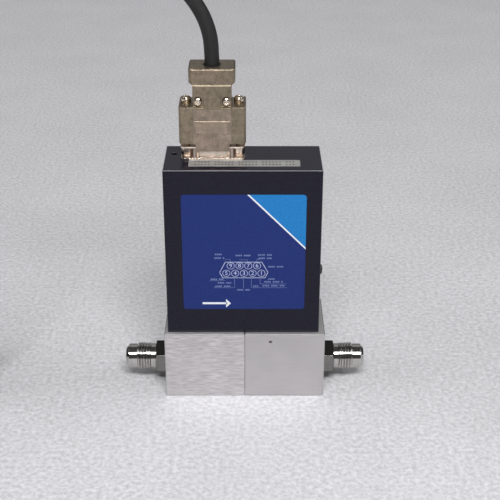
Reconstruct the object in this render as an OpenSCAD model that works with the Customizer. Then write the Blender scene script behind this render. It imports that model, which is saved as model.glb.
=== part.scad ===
// Thermal mass flow controller with face-seal fittings, a nine-way plug and its cable.
// X runs along the flow, the front faces -Y, Z points up, the base stands at Z = 0. Millimetres.

/* [Flow body] */
// Length of each half of the flow body, along the flow
half_len = 40.4; // [39:0.1:44]
// Depth of the flow body, front to back
body_d = 38; // [37:0.5:44]
// Height of the flow body
body_h = 36.4; // [35.5:0.1:42]
// Height of the flow axis above the base
flow_z = 12.7; // [12.2:0.1:13.2]
// Bevel on the edges of the flow body
body_bevel = 0.4; // [0.2:0.1:0.8]
// Diameter of the flow passages
passage_d = 5; // [3.5:0.1:5.6]
// Diameter of the leak-check port in the front of the outlet half
leak_d = 1.5; // [1:0.1:2]
// Distance of the leak-check port below the top of the flow body
leak_drop = 4.4; // [3.6:0.1:5]
// Distance of each mounting hole in the base from the seam
base_hole_x = 32; // [28:0.5:36]
// Diameter of the mounting holes in the base
base_hole_d = 4; // [3:0.5:5]
// Depth of the mounting holes in the base
base_hole_l = 5; // [3:0.5:5]

/* [Block bolts] */
// Diameter of the bolts that join the two halves
bolt_d = 4; // [3.5:0.1:4.5]
// Height of the bolt heads
bolt_head_h = 4; // [3:0.1:5]
// Length of bolt that enters the inlet half
bolt_grip = 10; // [7:0.5:14]
// Distance of the bolts from the middle plane, front to back
bolt_y = 14; // [13.8:0.1:14.4]
// Height of the lower pair of bolts
bolt_low_z = 6; // [5:0.5:7]
// Height of the upper pair of bolts
bolt_high_z = 24; // [22:0.5:25]

/* [Fittings] */
// Hexagon of the fittings, across its flats
hex_af = 15.88; // [15.4:0.01:19]
// Thickness of the hexagon
hex_t = 6; // [4:0.1:8]
// Diameter of the plain shank next to the hexagon
shank_d = 12.9; // [12.5:0.1:13.2]
// Length of the plain shank
shank_l = 5.4; // [3:0.1:8]
// Outside diameter of the fitting's thread
thread_d = 14.29; // [14:0.01:14.8]
// Pitch of the fitting's thread
thread_pitch = 1.41; // [1:0.01:1.8]
// Number of thread ridges that stand proud
thread_turns = 3; // [2:1:6]
// Diameter of the plain nose
nose_d = 12.7; // [12:0.1:12.9]
// Length of the nose, with its bevel
nose_l = 5.97; // [4:0.01:8]
// Bore of the fitting
port_bore_d = 4.6; // [3:0.1:5]
// Diameter of the spigot that screws into the flow body
spigot_d = 12; // [11:0.1:12.2]
// Length of the spigot
spigot_l = 8; // [6:0.1:8.4]

/* [Bypass and sensor] */
// Diameter of the bypass chamber
chamber_d = 16; // [13:0.1:17]
// Number of slots round the flow splitter
splitter_slots = 20; // [12:1:24]
// Distance between the sensor's two taps
tap_gap = 16; // [15:0.1:16.6]
// Height of the sensor's base
sensor_base_h = 5; // [4:0.1:7]
// Height of the sensor case
sensor_case_h = 28; // [22:0.5:32]
// Outside diameter of the sensor's capillary tube
capillary_d = 0.9; // [0.6:0.05:1]

/* [Valve] */
// Diameter of the valve cavity in the outlet half
cavity_d = 20; // [18:0.1:20.4]
// Depth of the valve cavity
cavity_l = 10; // [9.6:0.1:10.5]
// Travel of the plunger between its seat and its stop
stroke = 0.4; // [0.2:0.05:0.8]
// Diameter of the plunger
plunger_d = 7.9; // [7.4:0.05:8.2]
// Length of the plunger
plunger_l = 25; // [22:0.5:28]
// Thickness of the bonnet flange
bonnet_t = 5; // [4:0.1:7]
// Height of the coil bobbin
bobbin_h = 30; // [27:0.5:33]
// Diameter of the coil bobbin's flanges
bobbin_d = 21; // [18:0.5:22]
// Thickness of the yoke's sheet
yoke_t = 2; // [1.5:0.1:2.4]

/* [Cover] */
// Width of the cover
cover_w = 76; // [75.5:0.1:77.5]
// Depth of the cover
cover_d = 33.4; // [33.2:0.1:36]
// Height of the cover above the flow body
cover_h = 87.5; // [86:0.1:96]
// Thickness of the cover's sheet
cover_wall = 1.2; // [0.9:0.1:1.3]
// Offset of the cover along the flow
cover_x = -0.7; // [-1:0.1:-0.3]
// Radius of the cover's folded edges
cover_r = 0.8; // [0.5:0.1:1.4]
// Height of the cover screws above the flow body
cover_screw_z = 27.2; // [24:0.1:30]
// Diameter of the hole over the zero trimmer
trim_hole_d = 3.6; // [3:0.1:4.5]
// Distance of the zero trimmer from the cover's left wall
trim_side = 3.4; // [3.3:0.1:3.9]
// Place of the zero trimmer, front to back
trim_y = 5.7; // [5:0.1:6.6]

/* [Labels] */
// Width of the front label
label_w = 60; // [50:0.5:66]
// Height of the front label
label_h = 61.8; // [50:0.1:66]
// Distance from the flow body up to the front label
label_lift = 13.4; // [10:0.1:18]
// Radius of the label's corners
label_r = 1.6; // [1:0.1:3]
// Thickness of the labels
label_t = 0.15; // [0.1:0.05:0.3]
// Length of the top label
top_label_w = 53.3; // [40:0.1:60]
// Width of the top label
top_label_d = 8.1; // [6:0.1:8.5]

/* [Connector] */
// Place of the connector along the flow
plug_x = -15.1; // [-15.4:0.1:-14.8]
// Place of the connector, front to back
plug_y = 2.9; // [2.7:0.1:3.1]
// Height of the hexagonal posts above the cover
post_h = 5.9; // [5.6:0.1:7]
// Hexagon of the posts, across its flats
post_af = 5; // [4.5:0.1:5.5]
// Distance between the two jack screws
jack_pitch = 25; // [24.6:0.1:25.3]
// Diameter of the jack screws' shanks
jack_d = 2.9; // [2.5:0.1:3]

/* [Plug hood] */
// Height of the hood, from the mating face to its top
hood_h = 40.6; // [39:0.1:46]
// Width of the hood's body
hood_w = 31.8; // [31.6:0.1:33]
// Depth of the hood at its edges
hood_d = 16.4; // [15.6:0.1:18]
// Width of the neck and of the raised panel under it
neck_w = 18.2; // [18:0.1:18.6]
// How far the raised panel stands out of the hood
panel_rise = 0.4; // [0.2:0.1:0.8]
// Width of the cable clamp head
head_w = 21.9; // [20:0.1:24]
// Height of the cable clamp head
head_h = 6.6; // [5:0.1:8]
// Height of the shoulders that the jack screws bear on
shoulder_z = 21.9; // [20:0.1:24]
// Height of the open corners above the mating face
corner_z = 3.8; // [3:0.1:5]
// Diameter of the cable
cable_d = 7; // [6.4:0.1:7.4]

/* [Hidden] */

// Clearances
thread_gap = 0.05;   // round a screw in its tapped hole, and round a part that slides
pass_gap = 0.2;      // round a screw in a plain hole
seat_gap = 0.3;      // between the cover and what stands next to it
fine = 48;           // facets that stand for a true circle
eps = 0.5;           // how far a cut runs past the face that it opens

// Cover
cover_top = body_h + cover_h;
cover_in_top = cover_top - cover_wall;
cover_left = cover_x - cover_w/2 + cover_wall;
cover_right = cover_x + cover_w/2 - cover_wall;
cover_back = cover_d/2 - cover_wall;
screw_z = body_h + cover_screw_z;
cover_screw_l = 5;
pan_head_d = 5.6;
pan_head_h = 2;
top_label_gap = 0.1;  // to the receptacle's flange
label_z = body_h + label_lift;

// Bays under the cover: the sensor's on the left, the bracket's foot at the seam, the valve's on the right
bracket_w = 7;
bracket_x = 1.5;
case_room = 2.5;     // from the cover to the sensor's base
bonnet_room = 2.1;   // from the cover to the valve's bonnet
foot_room = [5, 1];  // from the bracket's foot to the sensor's base and to the bonnet
sensor_left = cover_left + case_room;
sensor_right = bracket_x - bracket_w/2 - foot_room[0];
sensor_base_w = sensor_right - sensor_left;
sensor_x = (sensor_left + sensor_right)/2;
bonnet_left = bracket_x + bracket_w/2 + foot_room[1];
bonnet_right = cover_right - bonnet_room;
bonnet_w = bonnet_right - bonnet_left;
valve_x = (bonnet_left + bonnet_right)/2;
edge_room = 3;       // from a screw's axis to the edge of the flange that it holds

// Flow body
port_l = spigot_l + pass_gap;
seal_w = 1;          // section of the fitting seals
fitting_seal_r = spigot_d/2 + 0.5;
chamber_l = tap_gap/2 - sensor_x - 2;
splitter_l = tap_gap - 4;
ring_r = chamber_d/2 + 1;
ring_w = 1.6;
bolt_head_d = bolt_d + 3;
bolt_sink = bolt_head_h + 0.6;
seat_step = 1.2;     // width and height of the ledge that the bonnet's seal lies on
riser_d = 2.6;
riser_x = valve_x + cavity_d/2 - seat_step - riser_d/2 - pass_gap;
leak_x = valve_x - 7;
base_rows = [for (side = [-1, 1]) side*base_hole_x];

// Fitting, measured outwards from the flow body's end
thread_l = thread_turns*thread_pitch;
fitting_l = hex_t + shank_l + thread_l + nose_l;
nose_bevel = 1.6;
bead_r = port_bore_d/2 + 1.5;

// Small screws (M3)
screw_d = 3;
screw_head_d = 5.5;
screw_head_h = 2.6;
tap_l = 6;

// Sensor
sensor_base_d = 20;
sensor_screw_x = sensor_base_w/2 - edge_room;
sensor_screw_y = sensor_base_d/2 - edge_room;
sensor_case_w = tap_gap + 5;
sensor_case_d = 8;
sensor_case_wall = 0.8;
tap_d = 1.6;
tap_ring_d = 2.6;    // inner diameter of the seal round a tap
tap_ring_w = 1;
capillary_rise = sensor_base_h + sensor_case_h - 6;
capillary_bend = 3;
winding_l = 3.6;
winding_d = 2.4;

// Valve, from the cavity's floor upwards
cavity_z = body_h - cavity_l;
orifice_t = 2.5;
nozzle_h = 0.7;
pad_t = 1.2;
plunger_z = cavity_z + orifice_t + nozzle_h;
plunger_top = plunger_z + pad_t/2 + plunger_l;
core_z = plunger_top + stroke + 0.1;
spring_well_l = 8;
spring_well_d = plunger_d - 2.3;
spring_wire = 0.7;
spring_turns = 6;
bonnet_d = 30;
bonnet_screw_x = bonnet_w/2 - edge_room;
bonnet_screw_y = bonnet_d/2 - edge_room;
flow_gap = 0.8;      // from the nozzle up to the bonnet's spigot
bonnet_spigot_l = cavity_l - orifice_t - nozzle_h - flow_gap;
guide_wall = 1;
guide_d = plunger_d + 2*thread_gap + 2*guide_wall;
seat_z = body_h - bonnet_spigot_l - seat_step;
yoke_z = body_h + bonnet_t;
bobbin_z = yoke_z + yoke_t;
yoke_top = bobbin_z + bobbin_h + yoke_t;
yoke_d = 18;
stud_d = 5;
stud_l = 7;
nut_af = 13;
nut_h = 4;
bobbin_wall = 1.2;
winding_top_gap = 0.2;

yoke_w = 2*(cover_right - seat_gap - valve_x);

// Boards
bracket_t = 1;
board_t = 1.6;
bracket_back = cover_back - seat_gap;
board_y = bracket_back - bracket_t - board_t;   // front face of the main board
board_z = yoke_z + 5;
board_w = cover_w - 2*cover_wall - 2*seat_gap - 1;
board_top = cover_in_top - 4;
bracket_screw_x = bracket_x + 1;
bracket_rows = [3.4, 10];
board_screw_rows = [board_z + 7, board_top - 12];
sensor_socket_z = body_h + sensor_base_h + sensor_case_h + 9;
valve_socket_z = yoke_top + 9;
socket_d = 3;
socket_h = 2.6;
can_h = 7;
trim_x = cover_left + trim_side;
trim_w = 4.8;
trim_d = board_y - trim_y + 3.1;
trim_h = 9.5;
trim_top = cover_in_top - 5.5;
trim_screw_d = 2.3;
trim_screw_l = 4.5;
trim_sink = 3;

// Nine-way connector
flange_w = 30.8;
flange_d = 12.5;
flange_t = 1;
sheet_t = 0.5;
shell_in = [16.9, 8.4];                          // inside of the receptacle's shell
shell_out = shell_in + [2*sheet_t, 2*sheet_t];
plug_out = shell_in - [0.6, 0.5];                // outside of the plug's shell
shell_slant = 10;
shell_r = 2.4;
shell_h = 5.9;
shell_back = 1;      // how far the shell reaches down into the cover
pin_pitch = 2.77;
pin_row = 1.42;
pin_d = 1;
pin_hole_d = 1.1;
insert_h = 6.2;
insert_z = cover_in_top - shell_back - insert_h;
pin_z = insert_z - 4.2;
pin_top = cover_in_top + shell_h - 0.8;
connector_board_z = pin_z + 0.4;
connector_board_left = trim_x + trim_w/2 + 1.6;
connector_board_right = plug_x + 15;
header_w = 22;
header_h = 2.6;
PINS = concat([for (i = [-2:2]) [i*pin_pitch, -pin_row]],
              [for (i = [-1.5:1.5]) [i*pin_pitch, pin_row]]);

// Plug and hood, from the mating face upwards
mate_z = cover_top + post_h - 0.8;
skirt_w = 16.2;
skirt_z = 0.3;
plug_flange_z = 0.9;
plug_flange_t = 0.8;
plug_reach = 5.6;    // how far the plug's shell reaches down from its flange
plug_insert_back = 4;
ear_h = 0.6;
ear_w = 1;
head_z = hood_h - head_h;
neck_step = 1.1;     // height of the slope between the neck and the head
band_z = 9;
band_h = 6.3;
band_rise = 0.3;
hood_rise = hood_d/2 + panel_rise;
cable_hole_d = cable_d + 2*thread_gap + 0.2;
hood_screw_x = 6.7;
hood_screw_z = shoulder_z + 2.6;
hood_screw_d = 2;
hood_screw_head_d = 4;
hood_screw_sink = 1.9;
notch_in = 4;        // from the middle of the neck to the notch for the screw's head
notch_h = 5.5;
jack_head_d = 4.6;
jack_head_h = 3.4;
jack_tip = 3;        // how far the jack screw reaches into the post
post_nut_h = 2;
wire_room = [19, 12];    // room for the wires in the hood's body, and in its neck
wire_room_z = 6;
neck_room = 10;
cavity_top = shoulder_z - 2;
hood_bevel = 0.6;
body_r = 1.4;        // upright edges of the hood's body, and of its head
head_r = 1.8;

// The cable's free route to the hank, points about two diameters apart
ROUTE = [
    [plug_x, plug_y, mate_z + head_z - 2], [plug_x, plug_y, mate_z + hood_h + 2.4],
    [-16.1, 2.9, 184], [-20.2, 2.8, 195], [-28, 2.5, 205.5], [-39.5, 2, 215], [-53, 1, 221.5],
    [-68, 0, 225], [-83, -1.5, 224], [-97, -3.5, 218.5], [-109.5, -6, 209], [-118.5, -8.5, 196],
    [-124, -11, 181], [-127, -13, 165], [-128.5, -14.5, 149], [-129, -16, 133], [-129, -17, 117],
    [-129, -17.5, 101], [-129, -18, 85], [-129.5, -18, 69], [-131, -18, 54], [-135, -18, 39.5],
    [-142.5, -18, 26], [-153, -18, 14], [-166, -18, 6], [-179, -18, 3.5]
];

cable_sides = 12;

// Hank: a loop that is laid four times on itself and pinched by a tie at its waist
hank_x = -212;
hank_y = 4;
hank_half = 40;      // half the length of its straight runs
hank_bend = 22;      // radius of its end loops
hank_waist = 9.5;    // distance of a run from the middle line at the waist
hank_layers = 4;
hank_h = hank_layers*cable_d;
tie_w = 10;
tie_t = 1.2;
far_plug = [-167, 5, hank_h + hood_rise + band_rise];

// The cable's end, from the top of the hank to the plug that lies on it
TAIL = [
    [-272.9, 10.8, 24.7], [-269.8, 16.9, 25.3], [-264.9, 21.8, 26.3], [-258.8, 24.9, 27.6],
    [-252, 26, 29.1], [-245.2, 24.9, 30.7], [-239.1, 21.8, 32.3], [-234.3, 17.1, 33.7],
    [-229.6, 12, 35], [-223.9, 8.3, 36], [-217.6, 5.9, 36.7],
    [far_plug[0] - hood_h - 2.5, far_plug[1], far_plug[2]], [far_plug[0] - head_z + 2, far_plug[1], far_plug[2]]
];

// ---------- Outlines and small helpers ----------

function unit(v) = v/norm(v);

// Points of a convex or concave outline with each corner rounded to radius r by n facets
function rounded(pts, r, n = 3) = [
    for (i = [0:len(pts) - 1])
        let (
            p = pts[i],
            a = unit(pts[(i + len(pts) - 1) % len(pts)] - p),
            b = unit(pts[(i + 1) % len(pts)] - p),
            half = acos(a*b)/2,
            centre = p + unit(a + b)*r/sin(half),
            from = p + a*r/tan(half) - centre,
            to = p + b*r/tan(half) - centre
        )
        for (k = [0:n]) centre + r*unit(from*(n - k) + to*k)
];

function rect_points(w, h) = [[-w/2, -h/2], [w/2, -h/2], [w/2, h/2], [-w/2, h/2]];

// D-shaped outline of a nine-way shell, its wide side to the front
function d_points(size, grow = 0) =
    let (w = size[0] + 2*grow, h = size[1] + 2*grow, lean = h*tan(shell_slant))
    rounded([[-w/2, -h/2], [w/2, -h/2], [w/2 - lean, h/2], [-w/2 + lean, h/2]], shell_r, 4);

module hexagon(af, h) {
    cylinder(d = af/cos(30), h = h, $fn = 6);
}

// Box with its twelve edges bevelled or rounded, centred on X and Y and standing on Z = 0
module eased_box(size, r, n = 1) {
    intersection() {
        linear_extrude(size[2]) polygon(rounded(rect_points(size[0], size[1]), r, n));
        translate([0, size[1]/2, size[2]/2]) rotate([90, 0, 0])
            linear_extrude(size[1]) polygon(rounded(rect_points(size[0], size[2]), r, n));
        translate([-size[0]/2, 0, size[2]/2]) rotate([90, 0, 90])
            linear_extrude(size[0]) polygon(rounded(rect_points(size[1], size[2]), r, n));
    }
}

// Box given by its low and high corners
module span(low, high) {
    translate(low) cube(high - low);
}

// Cylinder along +Z with the roundness of a true circle
module rod(d, l) {
    cylinder(d = d, h = l, $fn = fine);
}

// Cylinder along +X
module rod_x(d, l) {
    rotate([0, 90, 0]) rod(d, l);
}

// Cylinder along +Y
module rod_y(d, l) {
    rotate([-90, 0, 0]) rod(d, l);
}

module ring(inner_r, w, h) {
    difference() {
        rod(2*(inner_r + w), h);
        translate([0, 0, -eps]) rod(2*inner_r, h + 2*eps);
    }
}

// Tube along a route; ref is a direction that the route never takes
module tube(route, r, sides, ref = [0, 1, 0]) {
    last = len(route) - 1;
    heading = [for (i = [0:last])
        unit(unit(route[min(i + 1, last)] - route[max(i, 1) - 1]) +
             unit(route[min(i, last - 1) + 1] - route[max(i - 1, 0)]))];
    rings = [for (i = [0:last])
        let (u = unit(cross(ref, heading[i])), v = cross(heading[i], u))
        for (k = [0:sides - 1]) route[i] + r*(cos(360*k/sides)*u + sin(360*k/sides)*v)];
    walls = [for (i = [0:last - 1]) for (k = [0:sides - 1])
        let (a = i*sides + k, b = i*sides + (k + 1) % sides) [a, a + sides, b + sides, b]];
    polyhedron(rings, concat([[for (k = [0:sides - 1]) k]], walls,
        [[for (k = [sides - 1:-1:0]) last*sides + k]]), convexity = 8);
}

// Socket-head screw, its head's underside at Z = 0 and its shank along -Z
module socket_screw(d, head_d, head_h, l) {
    difference() {
        union() {
            rod(head_d, head_h);
            translate([0, 0, -l]) rod(d, l + head_h/2);
        }
        translate([0, 0, head_h - 0.6*d]) cylinder(d = 0.95*d, h = d, $fn = 6);
    }
}

// Pan-head screw with a cross slot, its head's underside at Z = 0 and its shank along -Z
module pan_screw(d, head_d, head_h, l) {
    difference() {
        union() {
            rotate_extrude($fn = fine) polygon([
                [0, 0], [head_d/2, 0], [head_d/2, 0.45*head_h], [0.44*head_d, 0.75*head_h],
                [0.34*head_d, 0.93*head_h], [0.22*head_d, head_h], [0, head_h]]);
            translate([0, 0, -l]) rod(d, l + head_h/3);
        }
        for (turn = [0, 90]) rotate([0, 0, turn])
            translate([-0.3*head_d, -0.08*head_d, 0.5*head_h]) cube([0.6*head_d, 0.16*head_d, head_h]);
    }
}

// ---------- Flow body ----------

// What both halves have: the port for a fitting and a mounting hole in the base; end is -1 or 1
module block_half(end) {
    difference() {
        translate([end*half_len/2, 0, 0]) eased_box([half_len, body_d, body_h], body_bevel);
        translate([end*half_len, 0, flow_z]) mirror([end > 0 ? 1 : 0, 0, 0]) {
            translate([-eps, 0, 0]) rod_x(spigot_d + 2*thread_gap, port_l + eps);
            translate([-eps, 0, 0]) rod_x(2*(fitting_seal_r + seal_w), seal_w + eps);
        }
        translate([end*base_hole_x, 0, -eps]) rod(base_hole_d, base_hole_l + eps);
    }
}

module inlet_block() {
    color([0.74, 0.74, 0.73]) difference() {
        block_half(-1);
        translate([-half_len + port_l - eps, 0, flow_z]) rod_x(passage_d, half_len - port_l + eps);
        translate([-chamber_l, 0, flow_z]) rod_x(chamber_d + 2*thread_gap, chamber_l + eps);
        for (side = [-1, 1]) translate([sensor_x + side*tap_gap/2, 0, flow_z]) {
            rod(tap_d, body_h - flow_z + eps);
            translate([0, 0, body_h - flow_z - tap_ring_w])
                rod(tap_ring_d + 2*tap_ring_w + 2*thread_gap, tap_ring_w + eps);
        }
        for (x = [-1, 1]) for (y = [-1, 1])
            translate([sensor_x + x*sensor_screw_x, y*sensor_screw_y, body_h - tap_l])
                rod(screw_d + 2*thread_gap, tap_l + eps);
        for (y = [-1, 1]) for (z = [bolt_low_z, bolt_high_z])
            translate([-bolt_grip - 1, y*bolt_y, z]) rod_x(bolt_d + 2*thread_gap, bolt_grip + 1 + eps);
    }
}

module outlet_block() {
    color([0.78, 0.78, 0.77]) difference() {
        block_half(1);
        translate([-eps, 0, flow_z]) rod_x(passage_d, valve_x + passage_d/2 + eps);
        translate([valve_x, 0, flow_z]) rod(passage_d - 1, body_h - flow_z - 1);
        translate([riser_x - passage_d/2, 0, flow_z]) rod_x(passage_d, half_len - port_l - riser_x + passage_d/2 + eps);
        translate([riser_x, 0, flow_z]) rod(riser_d, cavity_z - flow_z + eps);
        translate([valve_x, 0, cavity_z]) rod(cavity_d - 2*seat_step, cavity_l);
        translate([valve_x, 0, seat_z]) rod(cavity_d, body_h - seat_z + eps);
        translate([valve_x, 0, cavity_z - 0.8]) rod(2*(passage_d/2 + 1.5), 0.8 + eps);
        translate([-eps, 0, flow_z]) rod_x(2*(ring_r + ring_w), ring_w - 0.1 + eps);
        translate([leak_x, -body_d/2 - eps, body_h - leak_drop])
            rod_y(leak_d, body_d/2 + eps - 6);
        for (x = [-1, 1]) for (y = [-1, 1])
            translate([valve_x + x*bonnet_screw_x, y*bonnet_screw_y, body_h - tap_l])
                rod(screw_d + 2*thread_gap, tap_l + eps);
        for (y = bracket_rows) translate([bracket_screw_x, y, body_h - tap_l])
            rod(screw_d + 2*thread_gap, tap_l + eps);
        for (y = [-1, 1]) for (z = [bolt_low_z, bolt_high_z]) translate([0, y*bolt_y, z]) {
            translate([-eps, 0, 0]) rod_x(bolt_d + 2*pass_gap, half_len + 2*eps);
            translate([half_len - bolt_sink, 0, 0]) rod_x(bolt_head_d + 2*pass_gap, bolt_sink + eps);
        }
    }
}

// Metal ring that seals the bypass chamber at the seam
module block_seal() {
    color([0.85, 0.85, 0.82]) translate([0, 0, flow_z]) rotate([0, 90, 0])
        ring(ring_r, ring_w - thread_gap, ring_w - 0.1);
}

module block_bolts() {
    color([0.6, 0.6, 0.62]) for (y = [-1, 1]) for (z = [bolt_low_z, bolt_high_z])
        translate([half_len - bolt_sink, y*bolt_y, z]) rotate([0, 90, 0])
            socket_screw(bolt_d, bolt_head_d, bolt_head_h, half_len - bolt_sink + bolt_grip);
}

// ---------- Fittings ----------

// Male face-seal fitting along +X from the flow body's end face
module fitting() {
    thread_x = hex_t + shank_l;
    nose_x = thread_x + thread_l;
    flat_r = 0.3*thread_pitch/2;
    difference() {
        union() {
            // spigot
            translate([-spigot_l, 0, 0]) rod_x(spigot_d, spigot_l + 1);
            // hexagon, its corners turned down by a cone on both faces
            intersection() {
                rotate([0, 90, 0]) hexagon(hex_af, hex_t);
                rotate([0, 90, 0]) rotate_extrude($fn = fine) polygon([
                    [0, 0], [hex_af/2, 0], [hex_af/2 + 1.3, 0.7], [hex_af/2 + 1.3, hex_t - 0.7],
                    [hex_af/2, hex_t], [0, hex_t]]);
            }
            // shank, thread ridges, nose and the raised bead that bites the gasket
            rotate([0, 90, 0]) rotate_extrude($fn = fine) polygon(concat(
                [[0, hex_t - 1], [shank_d/2, hex_t - 1], [shank_d/2, thread_x]],
                [for (i = [0:thread_turns - 1]) each [
                    [thread_d/2, thread_x + (i + 0.5)*thread_pitch - flat_r],
                    [thread_d/2, thread_x + (i + 0.5)*thread_pitch + flat_r],
                    [shank_d/2, thread_x + (i + 1)*thread_pitch]]],
                [[nose_d/2, nose_x], [nose_d/2, nose_x + nose_l - nose_bevel],
                 [nose_d/2 - nose_bevel, nose_x + nose_l],
                 [bead_r + 0.9, nose_x + nose_l], [bead_r + 0.9, nose_x + nose_l - 0.4],
                 [bead_r + 0.5, nose_x + nose_l - 0.4], [bead_r + 0.2, nose_x + nose_l - 0.1],
                 [bead_r - 0.2, nose_x + nose_l - 0.1], [bead_r - 0.5, nose_x + nose_l - 0.4],
                 [0, nose_x + nose_l - 0.4]]));
        }
        translate([-spigot_l - eps, 0, 0]) rod_x(port_bore_d, spigot_l + fitting_l + 2*eps);
    }
}

module inlet_fitting() {
    color([0.62, 0.62, 0.6]) translate([-half_len, 0, flow_z]) mirror([1, 0, 0]) fitting();
}

module outlet_fitting() {
    color([0.62, 0.62, 0.6]) translate([half_len, 0, flow_z]) fitting();
}

module fitting_seals() {
    color([0.8, 0.8, 0.8]) for (end = [-1, 1])
        translate([end < 0 ? -half_len : half_len - seal_w, 0, flow_z]) rotate([0, 90, 0])
            ring(fitting_seal_r, seal_w - thread_gap, seal_w);
}

// ---------- Bypass and sensor ----------

// Laminar bypass: a plug with narrow slots all round, and a bore through its middle
module flow_splitter() {
    color([0.7, 0.7, 0.7]) translate([-chamber_l, 0, flow_z]) rotate([0, 90, 0]) difference() {
        rod(chamber_d, splitter_l);
        translate([0, 0, -eps]) rod(2, splitter_l + 2*eps);
        for (i = [0:splitter_slots - 1]) rotate([0, 0, 360*i/splitter_slots])
            translate([chamber_d/2 - 2.4, -0.3, -eps]) cube([4, 0.6, splitter_l + 2*eps]);
    }
}

module sensor_base() {
    color([0.72, 0.72, 0.7]) translate([sensor_x, 0, body_h]) difference() {
        eased_box([sensor_base_w, sensor_base_d, sensor_base_h], 0.4);
        for (side = [-1, 1]) translate([side*tap_gap/2, 0, -eps])
            rod(capillary_d + 2*thread_gap, sensor_base_h + 2*eps);
        for (x = [-1, 1]) for (y = [-1, 1])
            translate([x*sensor_screw_x, y*sensor_screw_y, -eps])
                rod(screw_d + 2*pass_gap, sensor_base_h + 2*eps);
    }
}

module sensor_seals() {
    color([0.2, 0.2, 0.2]) for (side = [-1, 1])
        translate([sensor_x + side*tap_gap/2, 0, body_h - tap_ring_w])
            ring(tap_ring_d/2, tap_ring_w, tap_ring_w);
}

// Capillary bent to a U upside down
module sensor_tube() {
    reach = tap_gap/2;
    knee = capillary_bend;
    left = [[-reach, 0, 0], for (i = [0:4]) [-reach + knee*(1 - cos(22.5*i)), 0,
        capillary_rise - knee + knee*sin(22.5*i)]];
    right = [for (i = [4:-1:0]) [reach - knee*(1 - cos(22.5*i)), 0,
        capillary_rise - knee + knee*sin(22.5*i)]];
    color([0.8, 0.8, 0.78]) translate([sensor_x, 0, body_h])
        tube(concat(left, right, [[reach, 0, 0]]), capillary_d/2, 8);
}

// Two heater windings on the capillary's level stretch
module sensor_windings() {
    color([0.72, 0.38, 0.2]) for (side = [-1, 1])
        translate([sensor_x + side*(winding_l/2 + 0.6) - winding_l/2, 0, body_h + capillary_rise])
            rotate([0, 90, 0]) ring(capillary_d/2 + thread_gap, (winding_d - capillary_d)/2, winding_l);
}

module sensor_case() {
    inner = [sensor_case_w - 2*sensor_case_wall, sensor_case_d - 2*sensor_case_wall];
    color([0.8, 0.8, 0.82]) translate([sensor_x, 0, body_h + sensor_base_h]) difference() {
        eased_box([sensor_case_w, sensor_case_d, sensor_case_h], 0.5);
        translate([-inner[0]/2, -inner[1]/2, -eps])
            cube([inner[0], inner[1], sensor_case_h - sensor_case_wall + eps]);
        // slot in the rear wall for the leads
        translate([-3, 0, sensor_case_h - 8]) cube([6, sensor_case_d, 3]);
    }
}

module sensor_screws() {
    color([0.6, 0.6, 0.6]) for (x = [-1, 1]) for (y = [-1, 1])
        translate([sensor_x + x*sensor_screw_x, y*sensor_screw_y, body_h + sensor_base_h])
            socket_screw(screw_d, screw_head_d, screw_head_h, sensor_base_h + tap_l - 1);
}

// Three insulated wires from the windings to the main board
module sensor_leads() {
    z = body_h + sensor_base_h + sensor_case_h - 6.5;
    color([0.85, 0.8, 0.3]) for (i = [-1, 0, 1])
        tube([[sensor_x + 1.4*i, 1.9, z], [sensor_x + 1.4*i, 5, z],
              [sensor_x + 1.6*i, 8, z + 2], [sensor_x + 2*i, board_y - 2.4, z + 7],
              [sensor_x + 2*i, board_y - 1.5, z + 11], [sensor_x + 2*i, board_y - 1.5, sensor_socket_z]],
             0.5, 6, [1, 0, 0]);
}

// ---------- Valve ----------

module valve_orifice() {
    color([0.75, 0.75, 0.72]) translate([valve_x, 0, cavity_z]) difference() {
        rotate_extrude($fn = fine) polygon([
            [0, 0], [6, 0], [6, orifice_t - 0.4], [5.6, orifice_t], [2, orifice_t],
            [1.3, orifice_t + nozzle_h], [0, orifice_t + nozzle_h]]);
        translate([0, 0, -eps]) rod(1.4, orifice_t + nozzle_h + 2*eps);
    }
}

module orifice_seal() {
    color([0.2, 0.2, 0.2]) translate([valve_x, 0, cavity_z - 0.8])
        ring(passage_d/2, 1.4, 0.8);
}

// Flange with a spigot into the cavity and the tube that guides the plunger
module valve_bonnet() {
    guide_bore = plunger_d + 2*thread_gap;
    color([0.72, 0.72, 0.7]) translate([valve_x, 0, 0]) difference() {
        union() {
            translate([0, 0, body_h]) eased_box([bonnet_w, bonnet_d, bonnet_t], 0.5);
            translate([0, 0, body_h - bonnet_spigot_l])
                rod(cavity_d - 2*thread_gap, bonnet_spigot_l + 1);
            translate([0, 0, body_h + 1]) rod(guide_d, yoke_top - 1 - body_h - 1);
        }
        translate([0, 0, body_h - bonnet_spigot_l - eps]) rod(guide_bore, yoke_top - body_h + 10);
        for (x = [-1, 1]) for (y = [-1, 1])
            translate([x*bonnet_screw_x, y*bonnet_screw_y, body_h - eps])
                rod(screw_d + 2*pass_gap, bonnet_t + 2*eps);
    }
}

// Metal ring on the ledge in the cavity; the leak-check port opens above it
module bonnet_seal() {
    color([0.85, 0.85, 0.82]) translate([valve_x, 0, seat_z])
        ring(cavity_d/2 - seat_step, seat_step - thread_gap, seat_step);
}

module bonnet_screws() {
    color([0.6, 0.6, 0.6]) for (x = [-1, 1]) for (y = [-1, 1])
        translate([valve_x + x*bonnet_screw_x, y*bonnet_screw_y, body_h + bonnet_t])
            socket_screw(screw_d, screw_head_d, screw_head_h, bonnet_t + tap_l - 1);
}

// Magnetic plunger with a well for the spring in its top and a pocket for its seal below
module valve_plunger() {
    color([0.66, 0.66, 0.68]) translate([valve_x, 0, plunger_z + pad_t/2]) difference() {
        rod(plunger_d, plunger_l);
        translate([0, 0, plunger_l - spring_well_l]) rod(spring_well_d, spring_well_l + eps);
        translate([0, 0, -eps]) rod(4.6, pad_t/2 + eps);
    }
}

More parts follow.
